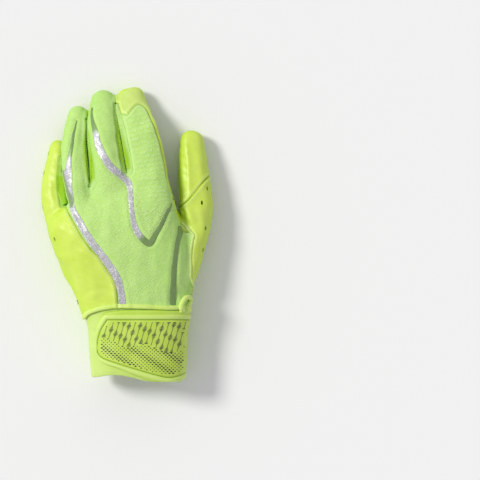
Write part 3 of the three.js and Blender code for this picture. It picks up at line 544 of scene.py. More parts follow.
class Cloth:
    """A pool of points with their normals and named fields. Faces are kept outside it."""

    def __init__(self, points, faces):
        self.points = points
        self.normals = normals_of(points, faces)
        self.fields = {}

    def split(self, faces, value):
        """Cuts triangles exactly along the zero line of a field. The side above zero comes first."""
        value = self.fields[value] if isinstance(value, str) else value
        value = np.where(np.abs(value) < 1e-3, 1e-3, value)
        above = value[faces] > 0
        count = above.sum(1)
        mixed = (count == 1) | (count == 2)
        corners = faces[mixed]
        flags = above[mixed]
        single = count[mixed] == 1
        lone = np.where(single, flags.argmax(1), (~flags).argmax(1))
        turned = corners[np.arange(len(corners))[:, None], (lone[:, None] + np.arange(3)) % 3]
        first, second, third = turned.T
        near = np.concatenate([np.minimum(first, second), np.minimum(first, third)]).astype(np.int64)
        far = np.concatenate([np.maximum(first, second), np.maximum(first, third)]).astype(np.int64)
        keys, back = np.unique(near * len(self.points) + far, return_inverse=True)
        near, far = keys // len(self.points), keys % len(self.points)
        share = value[near] / (value[near] - value[far])
        base = len(self.points)
        self.extend(near, far, share)
        cuts = base + back
        one, two = cuts[: len(corners)], cuts[len(corners) :]
        lone_part = np.stack([first, one, two], 1)
        rest = np.vstack([np.stack([one, second, third], 1), np.stack([one, third, two], 1)])
        twice = np.concatenate([single, single])
        kept = np.vstack([faces[count == 3], lone_part[single], rest[~twice]])
        left = np.vstack([faces[count == 0], lone_part[~single], rest[twice]])
        return kept, left

    def extend(self, near, far, share):
        """Adds points part of the way from some points to others."""

        def mix(array):
            part = share[:, None] if array.ndim == 2 else share
            return array[near] + (array[far] - array[near]) * part

        self.points = np.vstack([self.points, mix(self.points)])
        self.normals = np.vstack([self.normals, unit(mix(self.normals))])
        for name, array in self.fields.items():
            self.fields[name] = np.concatenate([array, mix(array)])

    def refine(self, faces, chosen):
        """Halves every edge of the chosen triangles and fits their neighbours to them."""
        size = len(self.points)
        edges = faces[:, [0, 1, 1, 2, 2, 0]].reshape(-1, 2).astype(np.int64)
        keys = edges.min(1) * size + edges.max(1)
        marked = np.unique(keys.reshape(-1, 3)[chosen].ravel())
        self.extend(marked // size, marked % size, np.full(len(marked), 0.5))
        found = np.clip(np.searchsorted(marked, keys), 0, len(marked) - 1)
        hit = (marked[found] == keys).reshape(-1, 3)
        middle = (size + found).reshape(-1, 3)
        count = hit.sum(1)
        parts = [faces[count == 0]]
        a, b, c = faces.T
        ab, bc, ca = middle.T
        three = count == 3
        for corners in ((a, ab, ca), (ab, b, bc), (ca, bc, c), (ab, bc, ca)):
            parts.append(np.stack([corner[three] for corner in corners], 1))
        for turn in range(3):
            p, q, r = (faces[:, (turn + k) % 3] for k in range(3))
            pq, qr = middle[:, turn], middle[:, (turn + 1) % 3]
            one = (count == 1) & hit[:, turn]
            parts += [np.stack([p[one], pq[one], r[one]], 1), np.stack([pq[one], q[one], r[one]], 1)]
            two = (count == 2) & hit[:, turn] & hit[:, (turn + 1) % 3]
            parts.append(np.stack([p[two], pq[two], qr[two]], 1))
            parts.append(np.stack([pq[two], q[two], qr[two]], 1))
            parts.append(np.stack([p[two], qr[two], r[two]], 1))
        return np.vstack(parts)


def normals_of(points, faces):
    """Smooth normals at the points of a mesh."""
    a, b, c = points[faces[:, 0]], points[faces[:, 1]], points[faces[:, 2]]
    face_normals = np.cross(b - a, c - a)
    sums = np.zeros_like(points)
    for i in range(3):
        np.add.at(sums, faces[:, i], face_normals)
    return unit(sums + 1e-12)


def border_of(faces):
    """Directed edges that only one triangle has."""
    edges = faces[:, [0, 1, 1, 2, 2, 0]].reshape(-1, 2).astype(np.int64)
    size = faces.max() + 1
    keys = edges.min(1) * size + edges.max(1)
    _, first, count = np.unique(keys, return_index=True, return_counts=True)
    return edges[first[count == 1]]


def largest(faces):
    """The biggest connected part of a list of triangles, and what is left."""
    labels = np.arange(faces.max() + 1)
    while True:
        low = labels[faces].min(1)
        before = labels.copy()
        for i in range(3):
            np.minimum.at(labels, faces[:, i], low)
        labels = labels[labels]
        if (labels == before).all():
            break
    marks = labels[faces[:, 0]]
    names, counts = np.unique(marks, return_counts=True)
    main = marks == names[counts.argmax()]
    return faces[main], faces[~main]


def distance_to(marks, points, reach):
    """Distance of each point to the nearest mark, up to reach."""
    tree = KDTree(len(marks))
    for i, mark in enumerate(marks):
        tree.insert(mark, i)
    tree.balance()
    low, high = marks.min(0) - reach, marks.max(0) + reach
    result = np.full(len(points), float(reach))
    for i in np.nonzero(((points > low) & (points < high)).all(1))[0]:
        result[i] = min(tree.find(points[i])[2], reach)
    return result


def edge_marks(points, edges):
    """Four marks along each edge."""
    a, b = points[edges[:, 0]], points[edges[:, 1]]
    return np.vstack([a, (3 * a + b) / 4, (a + b) / 2, (a + 3 * b) / 4])


FIELD_LIMIT = 9.0  # distances are kept up to here


def mesh_field(names, low, high, cell, floor_height):
    """Meshes the join of limbs: digits blend into the palm and stay apart from each other."""
    counts = np.ceil((high - low) / cell).astype(int) + 1
    total = np.full(counts, FIELD_LIMIT, np.float32)
    axes = [low[i] + cell * np.arange(counts[i]) for i in range(3)]

    def part(limb):
        rows = limb.at(np.linspace(limb.start, limb.end, 40))
        reach = max(rows[:, 12:14].max() + FIELD_LIMIT, limb.dome, limb.root)
        box = [rows[:, :3].min(0) - reach, rows[:, :3].max(0) + reach]
        spans = [slice(*np.searchsorted(axes[i], [box[0][i], box[1][i]])) for i in range(3)]
        grid = np.meshgrid(*[axes[i][spans[i]] for i in range(3)], indexing="ij")
        points = np.stack([g.ravel() for g in grid], 1)
        return tuple(spans), limb.field(points).reshape(grid[0].shape).astype(np.float32)

    spans, main = part(limbs[names[0]])
    total[spans] = np.minimum(main, FIELD_LIMIT)
    base = total.copy()
    for name in names[1:]:
        spans, digit = part(limbs[name])
        joined = smooth_min(base[spans], digit, WEB_BLEND)
        total[spans] = np.minimum(total[spans], joined)
    heights = floor_height - axes[2][None, None, :]
    total = -smooth_min(-total, -heights.astype(np.float32), FLOOR_BLEND)
    grid = openvdb.FloatGrid(FIELD_LIMIT)
    grid.copyFromArray(np.ascontiguousarray(total))
    points, quads = grid.convertToQuads(isovalue=0.0)
    points = np.asarray(points, float) * cell + low
    quads = np.asarray(quads, int)
    faces = np.vstack([quads[:, [0, 1, 2]], quads[:, [0, 2, 3]]])
    a, b, c = points[faces[:, 0]], points[faces[:, 1]], points[faces[:, 2]]
    if (a * np.cross(b, c)).sum() < 0:
        faces = faces[:, ::-1]
    return points, faces


def averaged(values, faces, rounds, share=0.5):
    """Evens out points, or a value at each point, over the mesh."""
    edges = np.vstack([faces[:, [0, 1]], faces[:, [1, 2]], faces[:, [2, 0]]])
    edges = np.vstack([edges, edges[:, ::-1]])
    count = np.maximum(np.bincount(edges[:, 0], minlength=len(values)), 1)
    count = count[:, None] if values.ndim == 2 else count
    for _ in range(rounds):
        sums = np.zeros_like(values)
        np.add.at(sums, edges[:, 0], values[edges[:, 1]])
        values = values + share * (sums / count - values)
    return values


def meshed(names, low, high, cell, floor_height):
    """The join of some limbs as a pool of points, and its faces."""
    points, faces = mesh_field(names, np.array(low), np.array(high), cell, floor_height)
    return Cloth(averaged(points, faces, 2), faces), faces


def to_scene(points):
    """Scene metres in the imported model's frame, from the source's millimetres."""
    return (points + ORIGIN) * MILLIMETRE


def make_mesh(name, points, faces, material, marks=None, sharp=50):
    """A Blender object from triangles, shaded smooth. Marks are values at its points that materials read."""
    used, corners = np.unique(faces, return_inverse=True)
    corners = corners.reshape(-1, 3)
    mesh = bpy.data.meshes.new(name)
    mesh.vertices.add(len(used))
    mesh.vertices.foreach_set("co", to_scene(points[used]).ravel())
    mesh.loops.add(corners.size)
    mesh.loops.foreach_set("vertex_index", corners.ravel().astype(np.int32))
    mesh.polygons.add(len(corners))
    mesh.polygons.foreach_set("loop_start", np.arange(0, corners.size, 3, dtype=np.int32))
    for label, values in (marks or {}).items():
        layer = mesh.attributes.new(label, "FLOAT", "POINT")
        layer.data.foreach_set("value", values[used].astype(np.float32))
    mesh.update(calc_edges=True)
    mesh.validate()
    mesh.polygons.foreach_set("use_smooth", np.ones(len(mesh.polygons), bool))
    mesh.set_sharp_from_angle(angle=math.radians(sharp))
    mesh.materials.append(material)
    piece = bpy.data.objects.new(name, mesh)
    bpy.context.scene.collection.objects.link(piece)
    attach(piece, "root")
    return piece


def close_sheet(outer, inner, faces):
    """A closed solid from a sheet's outside and inside and the rims between them."""
    size = len(outer)
    rim = border_of(faces)
    a, b = rim[:, 0], rim[:, 1]
    rims = [np.stack([b, a, a + size], 1), np.stack([b, a + size, b + size], 1)]
    return np.vstack([outer, inner]), np.vstack([faces, faces[:, ::-1] + size, *rims])


def build_sheet(name, cloth, faces, lift, thickness, material, marks=None):
    """A piece of cloth whose outside stands lift off the pool's surface."""
    used, corners = np.unique(faces, return_inverse=True)
    lift = np.broadcast_to(lift, len(cloth.points))[used]
    thickness = np.broadcast_to(thickness, len(cloth.points))[used]
    normals = cloth.normals[used]
    outer = cloth.points[used] + normals * lift[:, None]
    inner = outer - normals * thickness[:, None]
    points, triangles = close_sheet(outer, inner, corners.reshape(-1, 3))
    doubled = {label: np.tile(values[used], 2) for label, values in (marks or {}).items()}
    return make_mesh(name, points, triangles, material, doubled)


# The hand's cloth, meshed once
HAND_LOW = (-86.0, -14.0, -3.0)
HAND_HIGH = (70.0, 196.0, 58.0)
VENT_REACH = 3.2  # the mesh is finer this close to a slot's middle
hand, hand_faces = meshed(["palm", *DIGITS], HAND_LOW, HAND_HIGH, HAND_CELL, 0.0)


def vent_centre(limb, share, turn):
    """Place on a limb's surface, its outward direction and the direction along the limb."""
    row = limbs[limb].at(share)
    angle = math.radians(turn)
    power = 2 / limbs[limb].corner
    right = math.copysign(abs(math.cos(angle)) ** power, math.cos(angle)) * row[12]
    up = math.copysign(abs(math.sin(angle)) ** power, math.sin(angle)) * row[13]
    outward = row[6:9] * math.cos(angle) + row[9:12] * math.sin(angle)
    return row[:3] + row[6:9] * right + row[9:12] * up, outward, row[3:6]


vents = [vent_centre(*vent) for vent in VENTS]
for _ in range(2):
    middles = hand.points[hand_faces].mean(1)
    near_vents = [np.linalg.norm(middles - centre, axis=1) < VENT_REACH for centre, _, _ in vents]
    hand_faces = hand.refine(hand_faces, np.any(near_vents, axis=0))


def vent_field():
    """Above zero outside every slot, in shares of a slot's half size."""
    value = np.full(len(hand.points), FIELD_LIMIT)
    for centre, outward, forward in vents:
        away = hand.points - centre
        close = np.linalg.norm(away, axis=1) < 2 * VENT_REACH
        long = (away[close] @ unit(forward)) / (VENT_LENGTH / 2)
        wide = (away[close] @ unit(np.cross(outward, forward))) / (VENT_WIDTH / 2)
        value[close] = np.minimum(value[close], np.hypot(long, wide) - 1)
    return value


def upper_field(names):
    """Above zero over the middle of any of the named limbs."""
    value = np.full(len(hand.points), -FAR)
    for name in names:
        limb = limbs[name]
        share, right, up, _, wide, _ = limb.locate(hand.points, free=True)
        far = limb.end if name == "palm" else TIP_ROOM
        region = np.minimum(up, wide * SIDE_ROOM - np.abs(right))
        region = np.minimum(region, (far - share) * limb.length)
        value = np.maximum(value, np.minimum(region, share * limb.length + CUFF_LENGTH / 2))
    return value


def digit_at(name, y):
    """Share along a digit at a height of the plan, and its section there."""
    digit = DIGITS[name]
    share = (y - digit["root"][0] * PALM_LENGTH) / digit["length"]
    return share, limbs[name].at(share)


def wall_field(wall):
    """Above zero on the side walls between two fingers."""
    y = hand.points[:, 1]
    share, right_row = digit_at(wall.right, y)
    _, left_row = digit_at(wall.left, y)
    across = unit(right_row[:, :3] - left_row[:, :3])
    up = np.stack([-across[:, 2], 0 * y, across[:, 0]], 1)
    from_right = ((hand.points - right_row[:, :3]) * across).sum(1)
    from_left = ((hand.points - left_row[:, :3]) * across).sum(1)
    height = ((hand.points - left_row[:, :3]) * up).sum(1)
    sides = [
        (wall.covers[1] - 1) * right_row[:, 12] - from_right,
        from_left - (1 - wall.covers[0]) * left_row[:, 12],
        wall.above * left_row[:, 13] - height,
        height + wall.below * left_row[:, 13],
        (share - wall.start) * DIGITS[wall.right]["length"],
        (wall.end - share) * DIGITS[wall.right]["length"],
    ]
    return np.minimum.reduce(sides)


def beyond(line):
    """Area of the plan on the fingers' side of a line that runs from left to right."""
    return np.vstack([line, [FAR, line[-1][1]], [FAR, FAR], [-FAR, FAR], [-FAR, line[0][1]]])


def pixel_area(corners):
    """Plan distance of the hand's points to the edge of an area in the photograph, above zero inside it."""
    return inside([seen(*corner) for corner in corners], hand.points)


def between_index_and_thumb():
    """Line half way between the index and the thumb, from the crotch forwards."""
    line = []
    for share in (0.6, 0.72, 0.84, 0.96, 1.08):
        thumb_row = limbs["thumb"].at(share)
        _, index_row = digit_at("index", thumb_row[1])
        thumb_edge = thumb_row[0] - thumb_row[12]
        line.append([(thumb_edge + index_row[0] + index_row[12]) / 2, thumb_row[1]])
    return line


def panel_areas():
    """Plan areas of the back, the thumb, the thumb's cover and the outer side."""
    back = np.vstack([
        outline(BACK_LEFT),
        [place(point) for point in BACK_FINGERTIPS],
        outline([*BACK_INDEX_CAP, *BACK_RIGHT, *THUMB_BACK_SEAM, BACK_WRIST], 120),
    ])
    crotch = between_index_and_thumb()
    low = -CUFF_LENGTH / 3
    thumb = np.vstack([outline(THUMB_INNER_SEAM), crotch, [FAR, FAR], [FAR, low]])
    cover_line = outline(THUMB_COVER_SEAM)
    cover = np.vstack([cover_line, [FAR, cover_line[-1][1]], [FAR, FAR], [crotch[-1][0], FAR]])
    side = np.vstack([[place(point) for point in SIDE_EDGE], [-FAR, FAR], [-FAR, low]])
    return back, thumb, cover, side


def set_fields():
    """Fields of the hand's points, above zero inside each panel and film."""
    fields = hand.fields
    back, thumb, cover, side = (inside(area, hand.points) for area in panel_areas())
    fields["above"] = upper_field(["palm", "index", "middle", "ring"])
    fields["wrist"] = inside(beyond(outline(WRIST_EDGE)), hand.points)
    fields["vent"] = vent_field()
    fields["back"] = np.minimum(back, fields["above"])
    fields["thumb"] = thumb
    fields["cover"] = cover
    fields["side"] = np.minimum(side, upper_field(["palm", "little"]))
    for wall in FOURCHETTES:
        fields[wall.right] = wall_field(wall)
    for name, points in STRIPES.items():
        fields[name] = inside(ribbon(points, STRIPE_WIDTH), hand.points)
    fields["stripe_centre"] = np.maximum(fields["stripe_centre"], pixel_area(STRIPE_TIP))
    fields["stripe_outer"] = np.minimum(fields["stripe_outer"], -pixel_area(STRIPE_NOTCH))
    for name in STRIPES:
        fields[name] = np.minimum(fields[name], fields["above"])


def cut_panels(faces):
    """Splits the cloth along its seams. Crumbs beside a piece stay with the cloth that is cut next."""
    pieces = {}

    def take(name, faces, field):
        part, rest = hand.split(faces, field)
        pieces[name], crumbs = largest(part)
        return np.vstack([rest, crumbs])

    for wall in FOURCHETTES:
        faces = take(f"fourchette_{wall.right}_{wall.left}", faces, wall.right)
    faces = take("back_panel", faces, "back")
    faces = take("thumb", faces, "thumb")
    pieces["thumb_base"] = take("thumb_cover", pieces.pop("thumb"), "cover")
    pieces["palm_panel"] = take("side_panel", faces, "side")
    return pieces


set_fields()
whole, _ = hand.split(hand_faces, "wrist")
skin, _ = hand.split(whole, "vent")
panels = cut_panels(skin)
films = {name: largest(hand.split(whole, name)[0])[0] for name in STRIPES}


def line_distance(line, points):
    """Plan distance to a line and the share along it of the nearest place."""
    best = np.full(len(points), 1e9)
    share = np.zeros(len(points))
    lengths = np.linalg.norm(np.diff(line, axis=0), axis=1)
    reached = np.concatenate([[0], np.cumsum(lengths)])
    for i, (a, b) in enumerate(zip(line, line[1:])):
        edge = b - a
        part = np.clip(((points[:, :2] - a) @ edge) / (edge @ edge), 0, 1)
        away = np.linalg.norm(points[:, :2] - a - part[:, None] * edge, axis=1)
        nearer = away < best
        best = np.where(nearer, away, best)
        share = np.where(nearer, (reached[i] + part * lengths[i]) / reached[-1], share)
    return best, share

# Folds in the photograph's pixels: points of the crease or ridge, height (below zero is a crease), width
FOLDS = [
    ([(172, 194), (176, 206), (183, 218), (189, 230), (191, 240)], -1.7, 3.2),
    ([(87.5, 134), (89, 150), (91.5, 166), (93, 178)], -2.0, 2.6),
    ([(180, 196), (185, 208), (193, 220)], 1.0, 3.2),
    ([(194, 236), (197, 252), (195.5, 272), (193, 290)], 0.6, 2.6),
    ([(187, 240), (188, 256), (187, 276)], -0.5, 2.2),
    ([(57, 262), (66, 269), (77, 286)], -1.1, 2.8),
    ([(60, 282), (70, 290), (80, 303)], 0.6, 3.0),
    ([(50, 250), (60, 256), (72, 258)], 0.45, 3.0),
    ([(72, 238), (82, 262), (98, 288)], 0.6, 6.0),
    ([(84, 296), (94, 290), (108, 288)], -0.4, 2.4),
    ([(98, 300), (122, 304), (150, 304), (178, 300)], -0.5, 3.0),
    ([(120, 312), (136, 309), (152, 311)], 0.3, 2.0),
    ([(172, 284), (179, 294), (182, 306)], 0.8, 1.8),
    ([(186, 284), (190, 296), (189, 306)], -0.9, 1.6),
    ([(168, 286), (170, 296), (169, 306)], -0.35, 1.8),
    ([(131, 152), (146, 147), (163, 152)], -0.35, 3.2),
    ([(134, 128), (143, 124), (153, 128)], -0.25, 2.2),
    ([(96, 141), (107, 136), (119, 141)], -0.45, 3.0),
    ([(91, 112), (102, 108), (112, 112)], 0.35, 1.3),
    ([(91, 115), (102, 111.5), (112, 115)], -0.3, 1.2),
    ([(68, 147), (76, 143), (87, 146)], -0.4, 2.8),
    ([(72, 122), (80, 119), (89, 122)], -0.3, 1.4),
    ([(180, 158), (190, 155), (204, 160)], -0.5, 2.8),
    ([(186, 140), (188, 160), (189.5, 186), (190, 196)], 0.75, 2.0),
    ([(198, 150), (201, 168), (201, 180)], 0.4, 2.4),
    ([(196, 206), (203, 222), (203, 240)], 0.5, 3.0),
    ([(43, 190), (52, 192), (60, 200)], -0.6, 2.8),
    ([(48, 160), (56, 160), (62, 168)], -0.4, 2.4),
    ([(46, 216), (54, 214), (64, 218)], -0.4, 2.6),
    ([(92, 182), (97, 196), (104, 212)], -0.6, 4.0),
    ([(129, 172), (132, 184), (131, 198)], -0.6, 4.0),
    ([(60, 204), (70, 214), (84, 232)], 0.5, 4.0),
    ([(112, 240), (124, 262), (136, 280)], 0.4, 6.0),
    ([(150, 262), (156, 276), (160, 292)], -0.3, 4.0),
]
# Flex grooves pressed into the palm's side, on the same map
PALM_GROOVES = [
    [(70, 262), (98, 244), (130, 236), (164, 246)],
    [(66, 232), (92, 218), (124, 214), (160, 224)],
    [(166, 212), (156, 236), (146, 262), (142, 296)],
    [(70, 176), (80, 172), (92, 174)],
    [(96, 166), (110, 160), (126, 162)],
    [(132, 160), (148, 154), (166, 158)],
    [(94, 132), (104, 128), (116, 130)],
    [(130, 126), (142, 122), (154, 126)],
    [(67, 144), (76, 141), (88, 143)],
    [(182, 164), (194, 160), (206, 164)],
]
GROOVE_DEPTH = 0.7
GROOVE_WIDTH = 0.9
WIDE_NOISE = {"wavelength": 19.0, "height": 0.28, "seed": 3}  # the cloth's unevenness
FINE_NOISE = {"wavelength": 7.5, "height": 0.12, "seed": 5}
CUFF_NOISE = {"wavelength": 17.0, "height": 0.18, "seed": 8}
NOISE_WAVES = 9
STRIPE_ROLL = 0.28  # cloth standing proud beside a stripe


def uneven(points, wavelength, height, seed):
    """Heights of a soft, even unevenness: a sum of waves in seeded random directions."""
    random = np.random.default_rng(seed)
    directions = unit(random.normal(size=(NOISE_WAVES, 3)))
    stretch = random.uniform(0.7, 1.4, NOISE_WAVES)
    phases = random.uniform(0, 2 * math.pi, NOISE_WAVES)
    waves = np.sin(points @ directions.T * (2 * math.pi / wavelength) * stretch + phases)
    return height * waves.sum(1) / math.sqrt(NOISE_WAVES)


def fold(points, stops, width):
    """Height share of a fold that fades out at both its ends."""
    away, share = line_distance(spline([seen(*stop) for stop in stops], 12), points)
    return bell(away, width) * np.sqrt(np.clip(np.sin(math.pi * (0.06 + 0.88 * share)), 0, 1))


def folds_at(folds, points, normals):
    upper = smooth_step(-0.1, 0.35, normals[:, 2])
    return sum(size * fold(points, stops, width) for stops, size, width in folds) * upper


NOOK_REACH = 26.0  # how far cloth across a gap still tints the cloth that faces it with painted shade and bounce colour
SWELL_REACH = 6.0  # facing walls closer than this swell towards each other
SWELL_LIMIT = 1.8
SWELL_GAP = 0.15  # what swelling leaves open on each side
WEB_LIMIT = 3.4  # how far the cloth of the little finger's slit bulges into it
WEB_REACH = 3.0
UNEVEN_ROOM = (1.5, 8.0)  # unevenness fades out where cloth is this close
# Slits between the fingers in the photograph's pixels, the little finger's last
SLIT_WEDGES = [
    [
        (113.6, 105), (117, 136), (120.6, 158), (124.4, 172), (128.6, 172.6), (131.4, 168.5), (130, 158),
        (125.6, 141), (121.4, 128), (115.8, 106),
    ],
    [
        (85.8, 122), (83.4, 145), (84, 159), (85.6, 174), (88, 182.5), (92.4, 183), (94.8, 178), (94.2, 170),
        (91.8, 158), (89.4, 145), (87.8, 122),
    ],
    [
        (56.5, 176), (57.4, 188.6), (59.6, 197), (61.6, 205.5), (63.2, 207.5), (66.6, 206.6), (67.6, 205),
        (66.8, 199), (65.4, 188), (64.8, 176),
    ],
]


def free_room(faces, directions):
    """Free distance from each point, in its own direction, to the cloth across from it."""
    tree = BVHTree.FromPolygons(hand.points.tolist(), faces.tolist())
    room = np.full(len(hand.points), NOOK_REACH)
    used = np.unique(faces)
    for point in used[hand.points[used, 2] > 2.0]:
        outward = Vector(directions[point])
        distance = tree.ray_cast(Vector(hand.points[point]) + outward * 0.05, outward, NOOK_REACH)[3]
        if distance is not None:
            room[point] = distance
    return room


BINDING_WIDTH = 3.4
SIDE_BAR = [(17.6, 27), (14.6, 27), (12.2, 16.5), (15.2, 16.5)]  # along the hand and up, on its outer edge
binding_faces, _ = hand.split(whole, BINDING_WIDTH - hand.fields["wrist"])
on_side = -hand.normals[:, 0] * (hand.points[:, 0] < 0)
bar_mark = np.minimum(inside(SIDE_BAR, hand.points[:, 1:]), 4 * on_side - 1)
bar_faces, _ = largest(hand.split(whole, bar_mark)[0])

facing_up = hand.normals[:, 2]
wedges = [pixel_area(corners) for corners in SLIT_WEDGES]
# Slit wedges: the side-wall mesh's green is painted deep here, as painted shade in the slits between the
# fingers
slit_mesh_and_painted_shade = np.max([smooth_step(-1.3, 1.1, wedge) for wedge in wedges], axis=0) * smooth_step(-0.5, 0.0, facing_up)
painted_nook_shade = averaged(smooth_step(NOOK_REACH, 2.0, free_room(whole, hand.normals)), whole, 6)  # 1 in narrow gaps, where cloth gets painted shade and bounce colour


def seam_marks(names):
    """Marks along the sewn edges of some panels."""
    marks = []
    for name in names:
        edges = border_of(panels[name])
        at_wrist = (np.abs(hand.fields["wrist"][edges]) < 0.05).any(1)
        at_vent = (np.abs(hand.fields["vent"][edges]) < 0.05).any(1)
        marks.append(edge_marks(hand.points, edges[~(at_wrist | at_vent)]))
    return np.vstack(marks)


SEAM_REACH = 6.0
seam = distance_to(seam_marks(panels), hand.points, SEAM_REACH)


def seam_relief():
    """Channels along the seams, softer at the side walls, and the rolls of cloth beside them."""
    walls = [name for name in panels if name.startswith("fourchette")]
    wall_seam = distance_to(seam_marks(walls), hand.points, SEAM_REACH)
    firm = 0.3 + 0.7 * smooth_step(0.0, 3.0, wall_seam)
    return ROLL_HEIGHT * bell(seam - ROLL_AT, ROLL_WIDTH) - SEAM_DEPTH * bell(seam, SEAM_WIDTH) * firm


def swelling(room, sideways):
    """How far walls that face each other swell, further in the little finger's slit."""
    web = smooth_step(-3.0, 0.0, wedges[-1])
    limit = SWELL_LIMIT + (WEB_LIMIT - SWELL_LIMIT) * web
    swell = np.clip(room / 2 - SWELL_GAP, 0, limit) / np.maximum(sideways, 0.5)
    swell *= smooth_step(SWELL_REACH + WEB_REACH * web, SWELL_REACH * 0.7 + WEB_REACH * web, room)
    swell *= smooth_step(0.82, 0.62, facing_up) * smooth_step(-0.9, -0.7, facing_up)
    return averaged(swell, whole, 4)


def stripe_relief():
    """A roll of cloth beside each stripe and a step down to the film."""
    away = np.minimum.reduce([np.maximum(-hand.fields[name], 0) for name in STRIPES])
    return STRIPE_ROLL * (bell(away - 2.4, 1.8) - bell(away, 1.0)) * smooth_step(0, 4, hand.fields["above"])


def hand_relief():
    """Height of the hand's outside over the meshed field."""
    level = hand.normals * [1, 1, 0]
    sideways = np.linalg.norm(level, axis=1)
    room = free_room(whole, level / np.maximum(sideways, 1e-6)[:, None])
    uncrowded = averaged(smooth_step(*UNEVEN_ROOM, room), whole, 4)
    height = seam_relief() + folds_at(FOLDS, hand.points, hand.normals)
    height += (uneven(hand.points, **WIDE_NOISE) + uneven(hand.points, **FINE_NOISE)) * uncrowded
    height += stripe_relief() + swelling(room, sideways)
    height *= smooth_step(0.2, 2.5, hand.points[:, 2])
    facing_down = smooth_step(-0.2, -0.6, facing_up)
    for stops in PALM_GROOVES:
        height -= GROOVE_DEPTH * fold(hand.points, stops, GROOVE_WIDTH) * facing_down
    return height


relief = hand_relief()


# Materials
def linear(*colour):
    """Scene colour from the 0 to 255 that the eye sees."""
    shares = [c / 255 for c in colour]
    return tuple(c / 12.92 if c <= 0.04 else ((c + 0.055) / 1.055) ** 2.4 for c in shares) + (1.0,)


class Finish:
    """A material and short ways to add nodes to it."""

    def __init__(self, name, colour, roughness, specular, sheen=0.0, sheen_roughness=0.5, metallic=0.0):
        self.material = bpy.data.materials.new(name)
        self.material.use_nodes = True
        self.tree = self.material.node_tree
        self.shader = self.tree.nodes["Principled BSDF"]
        self.put(self.shader, {"Base Color": colour, "Roughness": roughness, "Specular IOR Level": specular})
        self.put(self.shader, {"Sheen Weight": sheen, "Sheen Roughness": sheen_roughness})
        self.put(self.shader, {"Metallic": metallic})
        self.place = self.add("ShaderNodeTexCoord").outputs["Object"]

    def put(self, node, inputs):
        for key, value in inputs.items():
            if isinstance(value, bpy.types.NodeSocket):
                self.tree.links.new(value, node.inputs[key])
            else:
                node.inputs[key].default_value = value

    def add(self, kind, inputs=None, **settings):
        node = self.tree.nodes.new(kind)
        for key, value in settings.items():
            setattr(node, key, value)
        self.put(node, inputs or {})
        return node

    def math(self, operation, *values, clamp=False):
        inputs = dict(enumerate(values))
        return self.add("ShaderNodeMath", inputs, operation=operation, use_clamp=clamp).outputs[0]

    def times(self, one, two):
        return self.math("MULTIPLY", one, two)

    def noise(self, size, detail=2.0):
        """Noise from 0 to 1 with lumps of about size millimetres."""
        inputs = {"Vector": self.place, "Scale": 1 / (size * MILLIMETRE), "Detail": detail}
        return self.add("ShaderNodeTexNoise", inputs).outputs["Fac"]

    def cells(self, size, output="Distance"):
        inputs = {"Vector": self.place, "Scale": 1 / (size * MILLIMETRE)}
        return self.add("ShaderNodeTexVoronoi", inputs).outputs[output]

    def ridges(self, direction, period):
        """Even ridges from 0 to 1 across a direction."""
        turn = tuple(2 * math.pi / (period * MILLIMETRE) * c for c in unit(np.array(direction, float)))
        phase = self.add("ShaderNodeVectorMath", {0: self.place, 1: turn}, operation="DOT_PRODUCT")
        wave = self.math("SINE", phase.outputs["Value"])
        return self.math("MULTIPLY_ADD", wave, 0.5, 0.5)

    def mark(self, name):
        """A value that the piece's points carry."""
        return self.add("ShaderNodeAttribute", attribute_name=name).outputs["Fac"]

    def span(self, value, low, high, to_low=0.0, to_high=1.0):
        inputs = {"Value": value, "From Min": low, "From Max": high, "To Min": to_low, "To Max": to_high}
        return self.add("ShaderNodeMapRange", inputs, interpolation_type="SMOOTHSTEP").outputs["Result"]

    def blend(self, share, low, high):
        node = self.add("ShaderNodeMix", data_type="RGBA")
        self.put(node, {0: share, 6: low, 7: high})
        return node.outputs[2]

    def mottled(self, size, low, high):
        """Two colours in soft patches of about size millimetres."""
        return self.blend(self.span(self.noise(size), 0.3, 0.7), low, high)

    def colour(self, socket):
        self.put(self.shader, {"Base Color": socket})

    def rough(self, share, low, high):
        self.put(self.shader, {"Roughness": self.span(share, 0.0, 1.0, low, high)})

    def bumps(self, *layers):
        """Layers of relief: each a height from 0 to 1 and its depth in millimetres."""
        normal = None
        for height, depth in layers:
            inputs = {"Height": height, "Distance": depth * MILLIMETRE, "Strength": 1.0}
            if normal is not None:
                inputs["Normal"] = normal
            normal = self.add("ShaderNodeBump", inputs).outputs["Normal"]
        self.put(self.shader, {"Normal": normal})


MINT = linear(194, 234, 128)
MINT_DEEP = linear(178, 224, 108)
MINT_LIGHT = linear(208, 240, 156)
RIB_LIGHT = linear(218, 246, 168)
SPECK_LIGHT = linear(226, 246, 190)
# Side-wall mesh green for the slits, deepened as painted shade
SLIT_GREEN = linear(158, 208, 30)
SLIT_LIGHT = linear(182, 224, 66)
VOLT = linear(207, 231, 86)
VOLT_DEEP = linear(199, 225, 62)
VOLT_LIGHT = linear(218, 238, 126)
CAP_LIGHT = linear(206, 230, 138)
CAP_DEEP = linear(196, 220, 108)
PALE = linear(203, 229, 122)
PALE_DEEP = linear(193, 221, 100)
PALE_LIGHT = linear(224, 244, 160)
STRAP_VOLT = linear(200, 228, 100)
STRAP_DEEP = linear(188, 220, 78)
PATCH_VOLT = linear(202, 228, 96)
PATCH_DEEP = linear(190, 218, 76)
RIM_PAINTED_HIGHLIGHT = linear(222, 244, 142)
GROOVE_PAINTED_SHADE = linear(146, 188, 28)
BINDING_LIGHT = linear(216, 240, 132)
BINDING_DEEP = linear(204, 232, 104)
CORD_LIGHT = linear(218, 242, 142)
SILVER = linear(198, 197, 199)
SILVER_SOFT = linear(184, 183, 187)
SILVER_DARK = linear(150, 152, 158)
SILVER_LIGHT = linear(238, 236, 244)
SHADED_FILM = linear(120, 150, 84)
SHADED_GLINT = linear(156, 178, 132)
PRINT_GREY = linear(50, 60, 52)
PRINT_LIGHT = linear(70, 80, 66)
THREAD = linear(214, 240, 140)
FLOOR_WHITE = linear(246, 246, 245)
